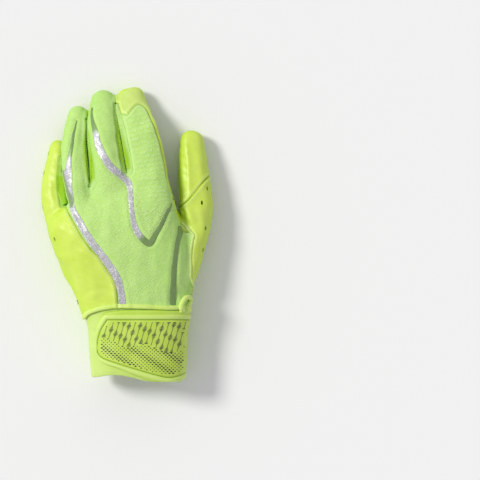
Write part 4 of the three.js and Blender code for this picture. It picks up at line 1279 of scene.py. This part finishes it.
# Painted light of the cloth: painted shade where it faces sideways, lies in a nook or dips at a seam, and
# painted highlight where it rolls up beside a seam
KNIT_PAINTED_LIGHT = (linear(158, 216, 70), linear(150, 204, 40), linear(138, 192, 66), linear(216, 244, 166))
GRIP_PAINTED_LIGHT = (linear(190, 224, 10), linear(176, 208, 0), linear(156, 184, 36), linear(226, 244, 146))
WALL_NOOK_SHADE = linear(164, 216, 36)


MESH_RIBS = {"direction": (0.15, 1, 0.1), "period": 1.5}


def painted_nook_shading(f, colour, deep):
    """Light that reaches cloth facing other cloth is coloured by it, so the nooks are painted deeper in hue,
    as painted shade and bounce light.
    """
    colour = f.blend(f.times(f.mark("painted_nook_shade"), 0.6), colour, deep)
    ribs = f.times(f.ridges(**MESH_RIBS), f.noise(1.2))
    # The slits get the side-wall mesh's ribbed green, painted deep as their shade
    return f.blend(f.mark("slit_mesh_and_painted_shade"), colour, f.blend(ribs, SLIT_GREEN, SLIT_LIGHT))


def painted_cloth_light(f, colour, tones, lean):
    """Painted shade on sideways cloth, in the seams' channels and in the nooks, and painted highlight on the
    rolls at seams.
    """
    sideways, nook_shade, seam_shade, seam_highlight = tones
    colour = f.blend(f.times(f.mark("lean"), lean), colour, sideways)
    seam_at = f.mark("seam")
    # Painted shade in the seam's channel
    colour = f.blend(f.times(f.span(seam_at, 0.8, 0.2), 0.5), colour, seam_shade)
    # Painted highlight on the rolls of cloth beside the seam
    seam_roll_highlight = f.times(f.span(seam_at, 1.0, 1.7), f.span(seam_at, 3.2, 2.1))
    return painted_nook_shading(f, f.blend(f.times(seam_roll_highlight, 0.45), colour, seam_highlight), nook_shade)


ARC_ROW = 3.3  # spacing of the rows of curved ribs
ARC_WIDTH = 5.4
SLANT_PITCH = 1.7


def curved_ribs(f):
    """Rows of small curved ribs, and the painted shadow in the dips below them."""
    drift = f.times(f.math("SUBTRACT", f.noise(6.0), 0.5), 0.9)
    row = f.math("ADD", f.math("DIVIDE", f.mark("along_index"), ARC_ROW), drift)
    shift = f.times(f.math("MODULO", f.math("FLOOR", row), 2.0), 0.5)
    across = f.math("FRACT", f.math("ADD", f.math("DIVIDE", f.mark("across_index"), ARC_WIDTH), shift))
    across = f.math("SUBTRACT", across, 0.5)
    up = f.math("SUBTRACT", f.math("FRACT", row), 0.5)
    curve = f.times(f.times(across, across), 1.2)
    level = f.math("ADD", f.math("SUBTRACT", up, curve), 0.12)
    area = f.times(f.span(f.math("ABSOLUTE", across), 0.5, 0.38), f.mark("ribs"))
    arc = f.times(f.span(f.math("ABSOLUTE", level), 0.26, 0.05), area)
    below = f.times(f.span(f.math("ABSOLUTE", f.math("ADD", level, 0.34)), 0.26, 0.05), area)
    return f.times(arc, f.span(f.noise(2.8, 3.0), 0.38, 0.6)), below


def knit_finish():
    """Ribbed knit: curved ribs on the index finger, slanting ribs over the knuckles, fine loops."""
    f = Finish("knit", MINT, 0.82, 0.22, sheen=0.3)
    arc, below = curved_ribs(f)
    slant = f.times(f.ridges((0.7, -1, 0), SLANT_PITCH), f.span(f.noise(1.7), 0.46, 0.6))
    slant = f.times(slant, f.mark("slants"))
    loops = f.times(f.ridges((1, 0.15, 0), 0.95), f.ridges((-0.1, 1, 0), 0.8))
    ground = f.blend(f.span(f.noise(24.0), 0.3, 0.7, 0.05, 0.65), MINT_DEEP, MINT)
    ground = f.blend(f.times(f.span(f.noise(1.3, 4.0), 0.36, 0.66), 0.5), ground, MINT_LIGHT)
    ground = f.blend(f.times(loops, 0.3), ground, MINT_LIGHT)
    # Painted shadow in the dips below the ribs
    ground = f.blend(f.times(below, 0.55), ground, MINT_DEEP)
    raised = f.math("ADD", f.times(arc, 0.6), f.times(slant, 0.95), clamp=True)
    ground = f.blend(raised, ground, RIB_LIGHT)
    ground = f.blend(f.times(f.span(f.cells(2.6), 0.16, 0.06), 0.35), ground, SPECK_LIGHT)
    f.colour(painted_cloth_light(f, ground, KNIT_PAINTED_LIGHT, 0.45))
    f.rough(f.noise(1.1), 0.74, 0.9)
    f.bumps((arc, 0.28), (slant, 0.37), (loops, 0.14), (f.noise(0.6), 0.08))
    return f.material


def grip_finish():
    """Silicone-faced cloth: satin, with a very fine grain."""
    f = Finish("grip", VOLT, 0.34, 0.42)
    ground = f.mottled(26.0, VOLT_DEEP, VOLT)
    ground = f.blend(f.times(f.span(f.noise(1.6, 4.0), 0.4, 0.7), 0.3), ground, VOLT_LIGHT)
    ground = f.blend(f.times(f.cells(0.8), 0.3), ground, VOLT_LIGHT)
    ground = f.blend(f.mark("cap"), ground, f.blend(f.noise(1.8, 4.0), CAP_DEEP, CAP_LIGHT))
    f.colour(painted_cloth_light(f, ground, GRIP_PAINTED_LIGHT, 0.7))
    f.rough(f.noise(2.5, 3.0), 0.28, 0.44)
    f.bumps((f.cells(0.8), 0.06), (f.noise(0.35), 0.03), (f.noise(7.0), 0.12))
    return f.material


def mesh_finish():
    """Stretch side walls, with ribs across the finger."""
    f = Finish("side_mesh", SLIT_GREEN, 0.85, 0.2, sheen=0.3)
    f.colour(painted_nook_shading(f, f.blend(f.noise(1.3, 4.0), MINT, MINT_LIGHT), WALL_NOOK_SHADE))
    f.rough(f.noise(1.5), 0.78, 0.92)
    f.bumps((f.ridges(**MESH_RIBS), 0.35), (f.ridges((0, 0.1, 1), 0.9), 0.1))
    return f.material


def film_finish():
    """Reflective film: glittering silver, with grey-green painted shade on the stretches where it is shaded.
    """
    f = Finish("film", SILVER, 0.42, 0.55, metallic=0.25)
    value = f.add("ShaderNodeSeparateXYZ", {0: f.cells(0.6, "Color")}).outputs
    ground = f.blend(f.span(f.noise(5.0, 3.0), 0.35, 0.65), SILVER_SOFT, SILVER)
    ground = f.blend(f.span(value[0], 0.0, 0.4, 0.7, 0.0), ground, SILVER_DARK)
    ground = f.blend(f.span(value[1], 0.72, 1.0), ground, SILVER_LIGHT)
    f.colour(f.blend(f.mark("film_painted_shade"), ground, f.blend(f.times(value[0], 0.3), SHADED_FILM, SHADED_GLINT)))
    f.rough(value[2], 0.32, 0.56)
    f.bumps((value[0], 0.05), (f.noise(1.2), 0.06))
    return f.material


def neoprene_finish():
    f = Finish("neoprene", PALE, 0.7, 0.3, sheen=0.35, sheen_roughness=0.45)
    f.colour(f.blend(f.times(f.noise(1.2, 4.0), 0.4), f.mottled(20.0, PALE_DEEP, PALE), PALE_LIGHT))
    f.rough(f.noise(1.8), 0.62, 0.8)
    weave = f.times(f.ridges((1, 0.05, 0), 0.75), f.ridges((0, 1, 0.3), 0.75))
    f.bumps((weave, 0.06), (f.noise(0.45), 0.05), (f.noise(4.0), 0.2))
    return f.material


def rubber_finish(name, light, deep, low, high):
    """Satin rubber whose roughness runs from low to high."""
    f = Finish(name, light, 0.5, 0.45)
    ground = f.mottled(14.0, deep, light)
    ground = f.blend(f.times(f.span(f.noise(1.4, 4.0), 0.4, 0.7), 0.35), ground, deep)
    # Painted highlight on the strap's rim and painted shade in the groove round the patch
    ground = f.blend(f.times(f.mark("rim"), 0.55), ground, RIM_PAINTED_HIGHLIGHT)
    f.colour(f.blend(f.times(f.mark("groove_painted_shade"), 0.75), ground, GROOVE_PAINTED_SHADE))
    f.rough(f.noise(2.0, 3.0), low, high)
    f.bumps((f.noise(0.6), 0.06), (f.cells(1.0), 0.03), (f.noise(6.0), 0.15))
    return f.material


def thread_finish(name, colour, period):
    """Twisted thread or cord."""
    f = Finish(name, colour, 0.7, 0.25, sheen=0.3)
    twist = f.ridges((1, 1, 0.6), period)
    shaded = tuple(channel * 0.8 for channel in colour[:3]) + (1.0,)
    f.colour(f.blend(twist, shaded, colour))
    f.bumps((twist, 0.12), (f.noise(0.4), 0.03))
    return f.material


def print_finish():
    f = Finish("print", PRINT_GREY, 0.5, 0.35)
    f.colour(f.blend(f.noise(1.2), PRINT_GREY, PRINT_LIGHT))
    f.bumps((f.noise(0.5), 0.03), (f.cells(0.9), 0.02))
    return f.material


finishes = {"knit": knit_finish(), "grip": grip_finish(), "side_mesh": mesh_finish()}
film = film_finish()
neoprene = neoprene_finish()
strap_rubber = rubber_finish("strap_rubber", STRAP_VOLT, STRAP_DEEP, 0.34, 0.5)
patch_rubber = rubber_finish("patch_rubber", PATCH_VOLT, PATCH_DEEP, 0.36, 0.5)
binding_cloth = rubber_finish("binding", BINDING_LIGHT, BINDING_DEEP, 0.55, 0.7)
cord_thread = thread_finish("cord", CORD_LIGHT, 1.3)
stitch_thread = thread_finish("stitch", THREAD, 0.6)
print_ink = print_finish()

KNUCKLE_CORNERS = [(128, 190), (176, 196), (180, 214), (151, 238), (134, 214)]
BACK_CORNERS = [
    (62, 206), (76, 150), (90, 176), (112, 160), (130, 186), (133, 222), (148, 248), (172, 300), (124, 304),
]
BACK_SLANT = 0.6  # strength of the slanting ribs away from the knuckles
CAP_SHARE = 0.85


def cloth_marks():
    """Values that the cloth's materials read: for the grip and the side walls, and for the knit."""
    limb = limbs["index"]
    share, right, _, _, wide, _ = limb.locate(hand.points, free=True)
    ribs = smooth_step(-0.62, -0.42, right / wide) * smooth_step(0.98, 0.8, right / wide)
    ribs *= smooth_step(-0.02, 0.12, share) * smooth_step(0.86, 0.8, share)
    slants = smooth_step(-3, 3, pixel_area(KNUCKLE_CORNERS)) * (1 - ribs)
    slants = np.maximum(slants, BACK_SLANT * smooth_step(-5, 5, pixel_area(BACK_CORNERS)))
    cap = CAP_SHARE * smooth_step(0.6, 0.72, share) * (np.abs(right) < wide * SIDE_ROOM)
    cap = cap * smooth_step(-0.5, 0.1, facing_up)
    lean = smooth_step(0.9, 0.3, facing_up)  # painted shade: cloth that faces sideways is painted deeper in hue
    cloth = {"seam": seam, "painted_nook_shade": painted_nook_shade, "slit_mesh_and_painted_shade": slit_mesh_and_painted_shade, "cap": cap, "lean": lean}
    index = {"across_index": right, "along_index": share * limb.length}
    return cloth, {**cloth, "ribs": ribs, "slants": slants, **index}


CLOTH = 1.2  # thickness of a panel's cloth
grip_marks, knit_marks = cloth_marks()
for name, faces in panels.items():
    slot = "side_mesh" if name.startswith("fourchette") else "knit" if name == "back_panel" else "grip"
    marks = knit_marks if slot == "knit" else grip_marks
    piece = build_sheet(f"cloth_{name}", hand, faces, relief, CLOTH, finishes[slot], marks)
    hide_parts(name)


def own_edge(cloth, faces, reach):
    """Distance of the pool's points to the border of some faces."""
    marks = edge_marks(cloth.points, border_of(faces))
    used = np.unique(faces)
    result = np.full(len(cloth.points), float(reach))
    result[used] = distance_to(marks, cloth.points[used], reach)
    return result


def rounded(distance, width):
    """Height share of an edge that rounds over within a width."""
    share = np.clip(distance / width, 0, 1)
    return np.sqrt(1 - (1 - share) ** 2)


# Where the film carries painted shade: stripe, share of the stretch from its first end, and from its last
FILM_SHADE = {"stripe_outer": (0.19, 0), "stripe_centre": (0.13, 0.27), "stripe_inner": (1.1, 0)}
SPUR_SHADE = 0.8
FILM_LIFT = 0.12
FILM_HEIGHT = 0.22
FILM_THICKNESS = 0.3


def painted_film_shade(name):
    """How much of each point's film carries painted shade."""
    _, share = line_distance(outline(STRIPES[name], 90), hand.points)
    first, last = FILM_SHADE[name]
    film_painted_shade = smooth_step(first + 0.02, first - 0.02, share)
    film_painted_shade = np.maximum(film_painted_shade, smooth_step(1 - last - 0.01, 1 - last + 0.03, share))
    if name == "stripe_outer":
        film_painted_shade = np.maximum(film_painted_shade, smooth_step(-0.4, 0.4, pixel_area(STRIPE_SPUR)) * SPUR_SHADE)
    return film_painted_shade


for name, faces in films.items():
    lift = relief + FILM_LIFT + FILM_HEIGHT * rounded(own_edge(hand, faces, 1.0), 0.5)
    marks = {"film_painted_shade": painted_film_shade(name)}
    piece = build_sheet(f"film_{name}", hand, faces, lift, FILM_THICKNESS, film, marks)
    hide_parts(name)

# Binding along the wrist edge
BINDING_HEIGHT = 0.75
edge = own_edge(hand, binding_faces, 2.0)
height = 0.05 + BINDING_HEIGHT * rounded(edge, 1.3) * smooth_step(0.2, 3.0, hand.points[:, 2])
binding = build_sheet("wrist_binding", hand, binding_faces, relief + height, height + 0.07, binding_cloth)


def tree_of(cloth, lift, faces):
    """Search tree of a piece's outside, for laying things on it."""
    outside = cloth.points + cloth.normals * lift[:, None]
    return BVHTree.FromPolygons(outside.tolist(), faces.tolist())


hand_tree = tree_of(hand, relief, whole)
SIDE_HEIGHT = 20.0


def on_surface(tree, x, y):
    """Highest place of a surface under a plan point, or else its nearest place, and its normal there."""
    spot, normal, _, _ = tree.ray_cast(Vector((x, y, 200.0)), Vector((0, 0, -1)))
    if spot is None:
        spot, normal, _, _ = tree.find_nearest(Vector((x, y, SIDE_HEIGHT)))
        return np.array(spot), np.array(normal)
    normal = np.array(normal)
    return np.array(spot), normal if normal[2] > 0 else -normal


def tube(name, line, normals, wide, high, material, sides=12):
    """A closed tube with an oval section: wide along the surface, high off it."""
    line = np.asarray(line, float)
    count = len(line)
    forward = unit(np.gradient(line, axis=0))
    side = unit(np.cross(forward, normals))
    up = np.cross(side, forward)
    angles = np.arange(sides) * 2 * math.pi / sides
    from_end = np.minimum(np.arange(count), np.arange(count)[::-1])
    ring = side[:, None] * (np.cos(angles) * wide)[None, :, None]
    ring = ring + up[:, None] * (np.sin(angles) * high)[None, :, None]
    points = (line[:, None] + ring * rounded(from_end + 0.6, 2.6)[:, None, None]).reshape(-1, 3)
    faces = []
    for i in range(count - 1):
        for j in range(sides):
            a, b = i * sides + j, i * sides + (j + 1) % sides
            faces += [(a, b, a + sides), (b, b + sides, a + sides)]
    last = (count - 1) * sides
    for j in range(sides):
        after = (j + 1) % sides
        faces += [(count * sides, after, j), (count * sides + 1, last + j, last + after)]
    points = np.vstack([points, line[0], line[-1]])
    return make_mesh(name, points, np.array(faces)[:, ::-1], material)


def laid(tree, plan_line, lift):
    """A plan line laid on a surface and lifted off it, and the surface's normals along it."""
    placed = [on_surface(tree, x, y) for x, y in plan_line]
    normals = unit(np.array([normal for _, normal in placed]))
    return np.array([spot for spot, _ in placed]) + normals * lift, normals


# Cord along the thumb's seam
cord_line, cord_normals = laid(hand_tree, outline(THUMB_BACK_SEAM, 90) - np.array([0.5, 0]), 0.45)
seam_cord = tube("seam_cord", cord_line, cord_normals, 1.15, 0.95, cord_thread)
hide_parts("piping")

# Pull tab: a loop of tape at the wrist, in the photograph's pixels
TAB_PATH = [
    (180.4, 311), (181.2, 304), (183.8, 298.6), (187.2, 296.8), (189, 299.6), (187.2, 305.5), (184.8, 311),
]
tab_line, _ = laid(hand_tree, spline([seen(*stop) for stop in TAB_PATH], 40), 1.3)
pull_tab = tube("pull_tab", tab_line, np.tile(UP, (len(tab_line), 1)), 1.9, 1.6, binding_cloth, 16)


STITCH_PITCH = 2.3
STITCH_LENGTH = 1.7
STITCH_RADIUS = 0.26
STITCH_RINGS = [(0, 0.3), (0.12, 0.85), (0.5, 1), (0.88, 0.85), (1, 0.3)]  # share along, share of the radius
STITCH_SIDES = 6


def stitch(a, b, normal, base):
    """Points and faces of one round stitch, pressed a little into the cloth. Its points start at base."""
    angles = (np.arange(STITCH_SIDES) * 2 * math.pi / STITCH_SIDES)[:, None]
    side = unit(np.cross(b - a, normal))
    round_it = side * np.cos(angles) + normal * np.sin(angles)
    points, faces = [], []
    for share, size in STITCH_RINGS:
        middle = a + (b - a) * share + normal * (STITCH_RADIUS * (0.55 - abs(share - 0.5)))
        points += list(middle + round_it * STITCH_RADIUS * size)
    for ring in range(len(STITCH_RINGS) - 1):
        for k in range(STITCH_SIDES):
            one = base + ring * STITCH_SIDES + k
            two = base + ring * STITCH_SIDES + (k + 1) % STITCH_SIDES
            faces += [(one, one + STITCH_SIDES, two), (two, one + STITCH_SIDES, two + STITCH_SIDES)]
    last = base + (len(STITCH_RINGS) - 1) * STITCH_SIDES
    for k in range(1, STITCH_SIDES - 1):
        faces += [(base, base + k, base + k + 1), (last, last + k + 1, last + k)]
    return points, faces


def stitch_mesh(name, tree, lines):
    """Stitches on a surface, along plan lines."""
    points, faces = [], []
    for line in lines:
        steps = np.concatenate([[0], np.cumsum(np.linalg.norm(np.diff(line, axis=0), axis=1))])
        for start in np.arange(1, steps[-1] - STITCH_LENGTH, STITCH_PITCH):
            ends = []
            for at in (start, start + STITCH_LENGTH):
                ends.append(on_surface(tree, *[np.interp(at, steps, line[:, axis]) for axis in range(2)]))
            (a, normal), (b, _) = ends
            if 0.5 * STITCH_LENGTH < np.linalg.norm(b - a) < 2 * STITCH_LENGTH:
                more_points, more_faces = stitch(a, b, normal, len(points))
                points += more_points
                faces += more_faces
    return make_mesh(name, np.array(points), np.array(faces), stitch_thread)


# Stitched lines of the hand: how far each lies to the right of a seam, and the seam
STITCHED = [
    (-2.2, outline(BACK_LEFT[1:], 60)),
    (1.7, outline(THUMB_COVER_SEAM[1:4], 40)),
    (-2.5, outline(WRIST_EDGE[1:], 60)),
    (-1.5, outline(BACK_INDEX_CAP, 30)),
    (-1.5, outline(BACK_RIGHT[:4], 30)),
]
stitched_lines = [moved_right(line, distance) for distance, line in STITCHED]
hand_stitches = stitch_mesh("hand_stitches", hand_tree, stitched_lines)

# Cuff and strap share one mesh
CUFF_LOW = (-54.0, -62.0, 0.0)
CUFF_HIGH = (52.0, 24.0, 56.0)
CUFF_CLOTH = 2.1
PAST_EDGE = 1.6  # share across that lies beyond the cuff's edge
wrap, cuff_faces = meshed(["cuff"], CUFF_LOW, CUFF_HIGH, CUFF_CELL, CUFF_FLOOR)
cuff_middle = CUFF_FLOOR + CUFF_HEIGHT / 2


def tab_area(points, top_edge):
    """Plan area of the strap or its patch, which both run on past the cuff's edge."""
    corners = [place(("cuff", points[-1][1], PAST_EDGE)), place(("cuff", top_edge, PAST_EDGE))]
    return np.vstack([outline(points, 80), *corners])


def under_area():
    """Plan area of the strap's end under the wrist."""
    top, bottom, anchor = STRAP_UNDER["top"], STRAP_UNDER["bottom"], STRAP_UNDER["anchor"]
    return [place(("cuff", *corner)) for corner in
            ((top, anchor), (bottom, anchor), (bottom, PAST_EDGE), (top, PAST_EDGE))]


height = smooth_step(cuff_middle - 9, cuff_middle + 3, wrap.points[:, 2])
over = inside(tab_area(STRAP_TAB, STRAP_TOP_EDGE), wrap.points)
under = inside(under_area(), wrap.points)
opening = inside(beyond(outline(CUFF_OPENING_EDGE)), wrap.points)
patch = inside(tab_area(PATCH_TAB, PATCH_TOP_EDGE), wrap.points)
wrap.fields["opening"] = np.minimum(opening, CUFF_TUCK - 0.5 - wrap.points[:, 1])
wrap.fields["strap"] = over * height + under * (1 - height)
wrap.fields["patch"] = np.minimum(patch, wrap.points[:, 2] - cuff_middle)
cuff_faces, _ = wrap.split(cuff_faces, "opening")
strap_faces, _ = wrap.split(cuff_faces, "strap")
patch_faces, _ = wrap.split(strap_faces, "patch")
strap_faces, _ = largest(strap_faces)
patch_faces, _ = largest(patch_faces)

# Cuff. Its folds are in the photograph's pixels: points, height and width
CUFF_FOLDS = [
    ([(92, 322), (93, 345), (94, 372)], 0.4, 2.2),
    ([(86, 328), (99, 332), (104, 340)], -0.45, 2.4),
    ([(90, 352), (99, 358), (108, 372)], -0.35, 2.6),
    ([(87, 318), (97, 317), (112, 314)], -0.5, 1.6),
]
cuff_relief = uneven(wrap.points, **CUFF_NOISE) + folds_at(CUFF_FOLDS, wrap.points, wrap.normals)
tucked = smooth_step(2.0, -6.0, wrap.points[:, 1])  # inside the hand the cuff stays flat
cuff_lift = cuff_relief * tucked - 0.7 * (1 - rounded(own_edge(wrap, cuff_faces, 3.0), 1.4))
cuff_piece = build_sheet("wrist_cuff", wrap, cuff_faces, cuff_lift, CUFF_CLOTH, neoprene)
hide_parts("cuff")

HEM = 2.6
hem = moved_right(outline(CUFF_OPENING_EDGE[1:4], 40), -HEM)
cuff_stitches = stitch_mesh("cuff_stitches", tree_of(wrap, cuff_lift, cuff_faces), [hem])

# Strap: its edge rounds over, and a rim and a groove run round the patch
STRAP_LIFT = 0.35
STRAP_EDGE = 0.5
STRAP_ROUND = 1.5
RIM_WIDTH = 4.4
GROOVE_SINK = 0.5
edge = own_edge(wrap, strap_faces, 4.0)
outside_patch = -wrap.fields["patch"]
rim = rounded(np.minimum(outside_patch - 0.2, RIM_WIDTH - outside_patch), STRAP_ROUND)
rim *= smooth_step(0.0, 1.0, edge)
rim *= smooth_step(cuff_middle - 3, cuff_middle + 3, wrap.points[:, 2])
off_edge = smooth_step(0.3, 1.0, edge)
# Painted shade in the groove round the patch; the rim's mark also carries a painted highlight
groove_painted_shade = bell(outside_patch - 0.1, 0.55) * off_edge
height = STRAP_EDGE + (STRAP_THICKNESS - STRAP_EDGE) * rounded(edge, STRAP_ROUND) + STRAP_RIM_HEIGHT * rim
height -= GROOVE_SINK * bell(outside_patch, 0.5) * off_edge
near_floor = smooth_step(0.5, 4.0, wrap.points[:, 2] - CUFF_FLOOR)
height = np.minimum(height, STRAP_THICKNESS + 3 * near_floor)
marks = {"rim": rim, "groove_painted_shade": groove_painted_shade}
strap_piece = build_sheet("wrist_strap", wrap, strap_faces, STRAP_LIFT + height, height, strap_rubber, marks)
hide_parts("strap")

# Patch
PATCH_LIFT = STRAP_LIFT + STRAP_THICKNESS + 0.05
PATCH_EDGE = 0.25
height = PATCH_EDGE + (PATCH_THICKNESS - PATCH_EDGE) * rounded(own_edge(wrap, patch_faces, 3.0), 0.9)
patch_piece = build_sheet("strap_face", wrap, patch_faces, PATCH_LIFT + height, height, patch_rubber)
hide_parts("strap_patch")
patch_tree = tree_of(wrap, PATCH_LIFT + height, patch_faces)


# Printed marks
PRINT_SLOPE = 0.5  # marks stop where the surface turns down the side
PRINT_LIFT = 0.06
PRINT_SINK = 0.05
PRINT_MARGIN = 1.5
CHAIN_PITCH = 4.3  # chains of short bars in the upper half of the patch
BAR_PITCH = 1.0
BAR_SIZE = (0.36, 0.38)
DOT_STEP = (2.9, 1.4)  # staggered dots in the lower half
DOT_SIZE = (0.46, 0.38)


def printed(name, shapes, tree, material):
    """Thin printed marks: plan outlines laid on a surface."""
    points, faces = [], []
    for shape in shapes:
        ring = [on_surface(tree, *corner) for corner in [np.mean(shape, axis=0), *shape]]
        if min(normal[2] for _, normal in ring) < PRINT_SLOPE:
            continue
        base = len(points)
        count = len(shape)
        points += [spot + normal * PRINT_LIFT for spot, normal in ring]
        points += [spot - normal * PRINT_SINK for spot, normal in ring[1:]]
        for j in range(count):
            a, b = base + 1 + j, base + 1 + (j + 1) % count
            faces += [(base, a, b), (a, a + count, b), (b, a + count, b + count)]
    return make_mesh(name, np.array(points), np.array(faces), material, sharp=40)


def oval(x, y, wide, high, sides=8):
    angles = np.arange(sides) * 2 * math.pi / sides
    return np.stack([np.cos(angles) * wide, np.sin(angles) * high], 1) + (x, y)


def print_marks():
    """A plain printed pattern: leaning chains of bars that swell and narrow, above rows of dots."""
    patch_outline = tab_area(PATCH_TAB, PATCH_TOP_EDGE)

    def fits(x, y, above):
        divide = -17.5 - 0.16 * x + 2.0 * math.sin(0.2 * x)
        return (y > divide) == above and inside(patch_outline, np.array([[x, y]]))[0] > PRINT_MARGIN

    marks = []
    for chain in range(-10, 12):
        for bar in range(-24, 6):
            y = bar * BAR_PITCH
            x = chain * CHAIN_PITCH + 0.3 * y
            swell = 0.5 + 0.5 * math.sin(0.62 * y + 2.1 * chain + 0.9 * math.sin(1.3 * chain))
            if fits(x, y, True):
                marks.append(oval(x, y, BAR_SIZE[0] + 1.6 * swell**3, BAR_SIZE[1]))
    for column in range(-16, 18):
        for row in range(-28, 0):
            x = (column + (row % 2) / 2) * DOT_STEP[0]
            y = row * DOT_STEP[1]
            swell = 0.5 + 0.5 * math.sin(0.3 * x + 0.5 * y)
            if fits(x, y, False):
                marks.append(oval(x, y, DOT_SIZE[0] + 0.6 * swell**2, DOT_SIZE[1] + 0.2 * swell))
    return marks


strap_print = printed("strap_print", print_marks(), patch_tree, print_ink)

SIDE_PRINT_LIFT = 0.08
side_print = build_sheet("side_print", hand, bar_faces, relief + SIDE_PRINT_LIFT, 0.12, print_ink)


# Floor, light and camera
FLOOR_HALF = 4.0
FLOOR_DROP = 0.0004  # keeps the floor clear of the glove's underside
SKY = (1.0, 0.99, 1.06, 1.0)
SKY_STRENGTH = 0.52
SUN_FROM = (-0.92, 0.44, 0.95)
SUN_POWER = 2.02
SUN_COLOUR = (1.0, 1.01, 0.94)
SUN_WIDTH = 16  # degrees
CAMERA_HEIGHT = 2.5
FOCUS_HEIGHT = 0.02  # the height at which the picture has the photograph's scale
SENSOR_WIDTH = 36.0
scene = bpy.context.scene


def add_floor():
    corners = [(x * FLOOR_HALF, y * FLOOR_HALF, -FLOOR_DROP) for x, y in ((-1, -1), (1, -1), (1, 1), (-1, 1))]
    mesh = bpy.data.meshes.new("floor")
    mesh.from_pydata(corners, [], [(0, 1, 2, 3)])
    mesh.materials.append(Finish("floor", FLOOR_WHITE, 0.8, 0.1).material)
    piece = bpy.data.objects.new("floor", mesh)
    scene.collection.objects.link(piece)
    return piece


def add_light():
    """A soft white sky and a sun from the upper left."""
    world = bpy.data.worlds.new("studio")
    world.use_nodes = True
    world.node_tree.nodes["Background"].inputs["Color"].default_value = SKY
    world.node_tree.nodes["Background"].inputs["Strength"].default_value = SKY_STRENGTH
    scene.world = world
    data = bpy.data.lights.new("key", "SUN")
    data.energy = SUN_POWER
    data.color = SUN_COLOUR
    data.angle = math.radians(SUN_WIDTH)
    sun = bpy.data.objects.new("key", data)
    direction = Vector(SUN_FROM).normalized()
    sun.location = direction * 1.6
    sun.rotation_euler = direction.to_track_quat("Z", "Y").to_euler()
    scene.collection.objects.link(sun)


def add_camera():
    """Looks straight down on the middle of the photograph, with its scale."""
    data = bpy.data.cameras.new("camera")
    view_width = PHOTO_SIZE * MILLIMETRES_A_PIXEL * MILLIMETRE
    data.sensor_width = SENSOR_WIDTH
    data.lens = SENSOR_WIDTH * (CAMERA_HEIGHT - FOCUS_HEIGHT) / view_width
    data.clip_end = 20
    camera = bpy.data.objects.new("camera", data)
    middle = np.array([*seen(PHOTO_SIZE / 2, PHOTO_SIZE / 2), 0.0])
    camera.location = Vector(to_scene(middle)) + Vector((0, 0, CAMERA_HEIGHT))
    scene.collection.objects.link(camera)
    scene.camera = camera


scene.view_settings.view_transform = "Standard"
floor = add_floor()
add_light()
add_camera()
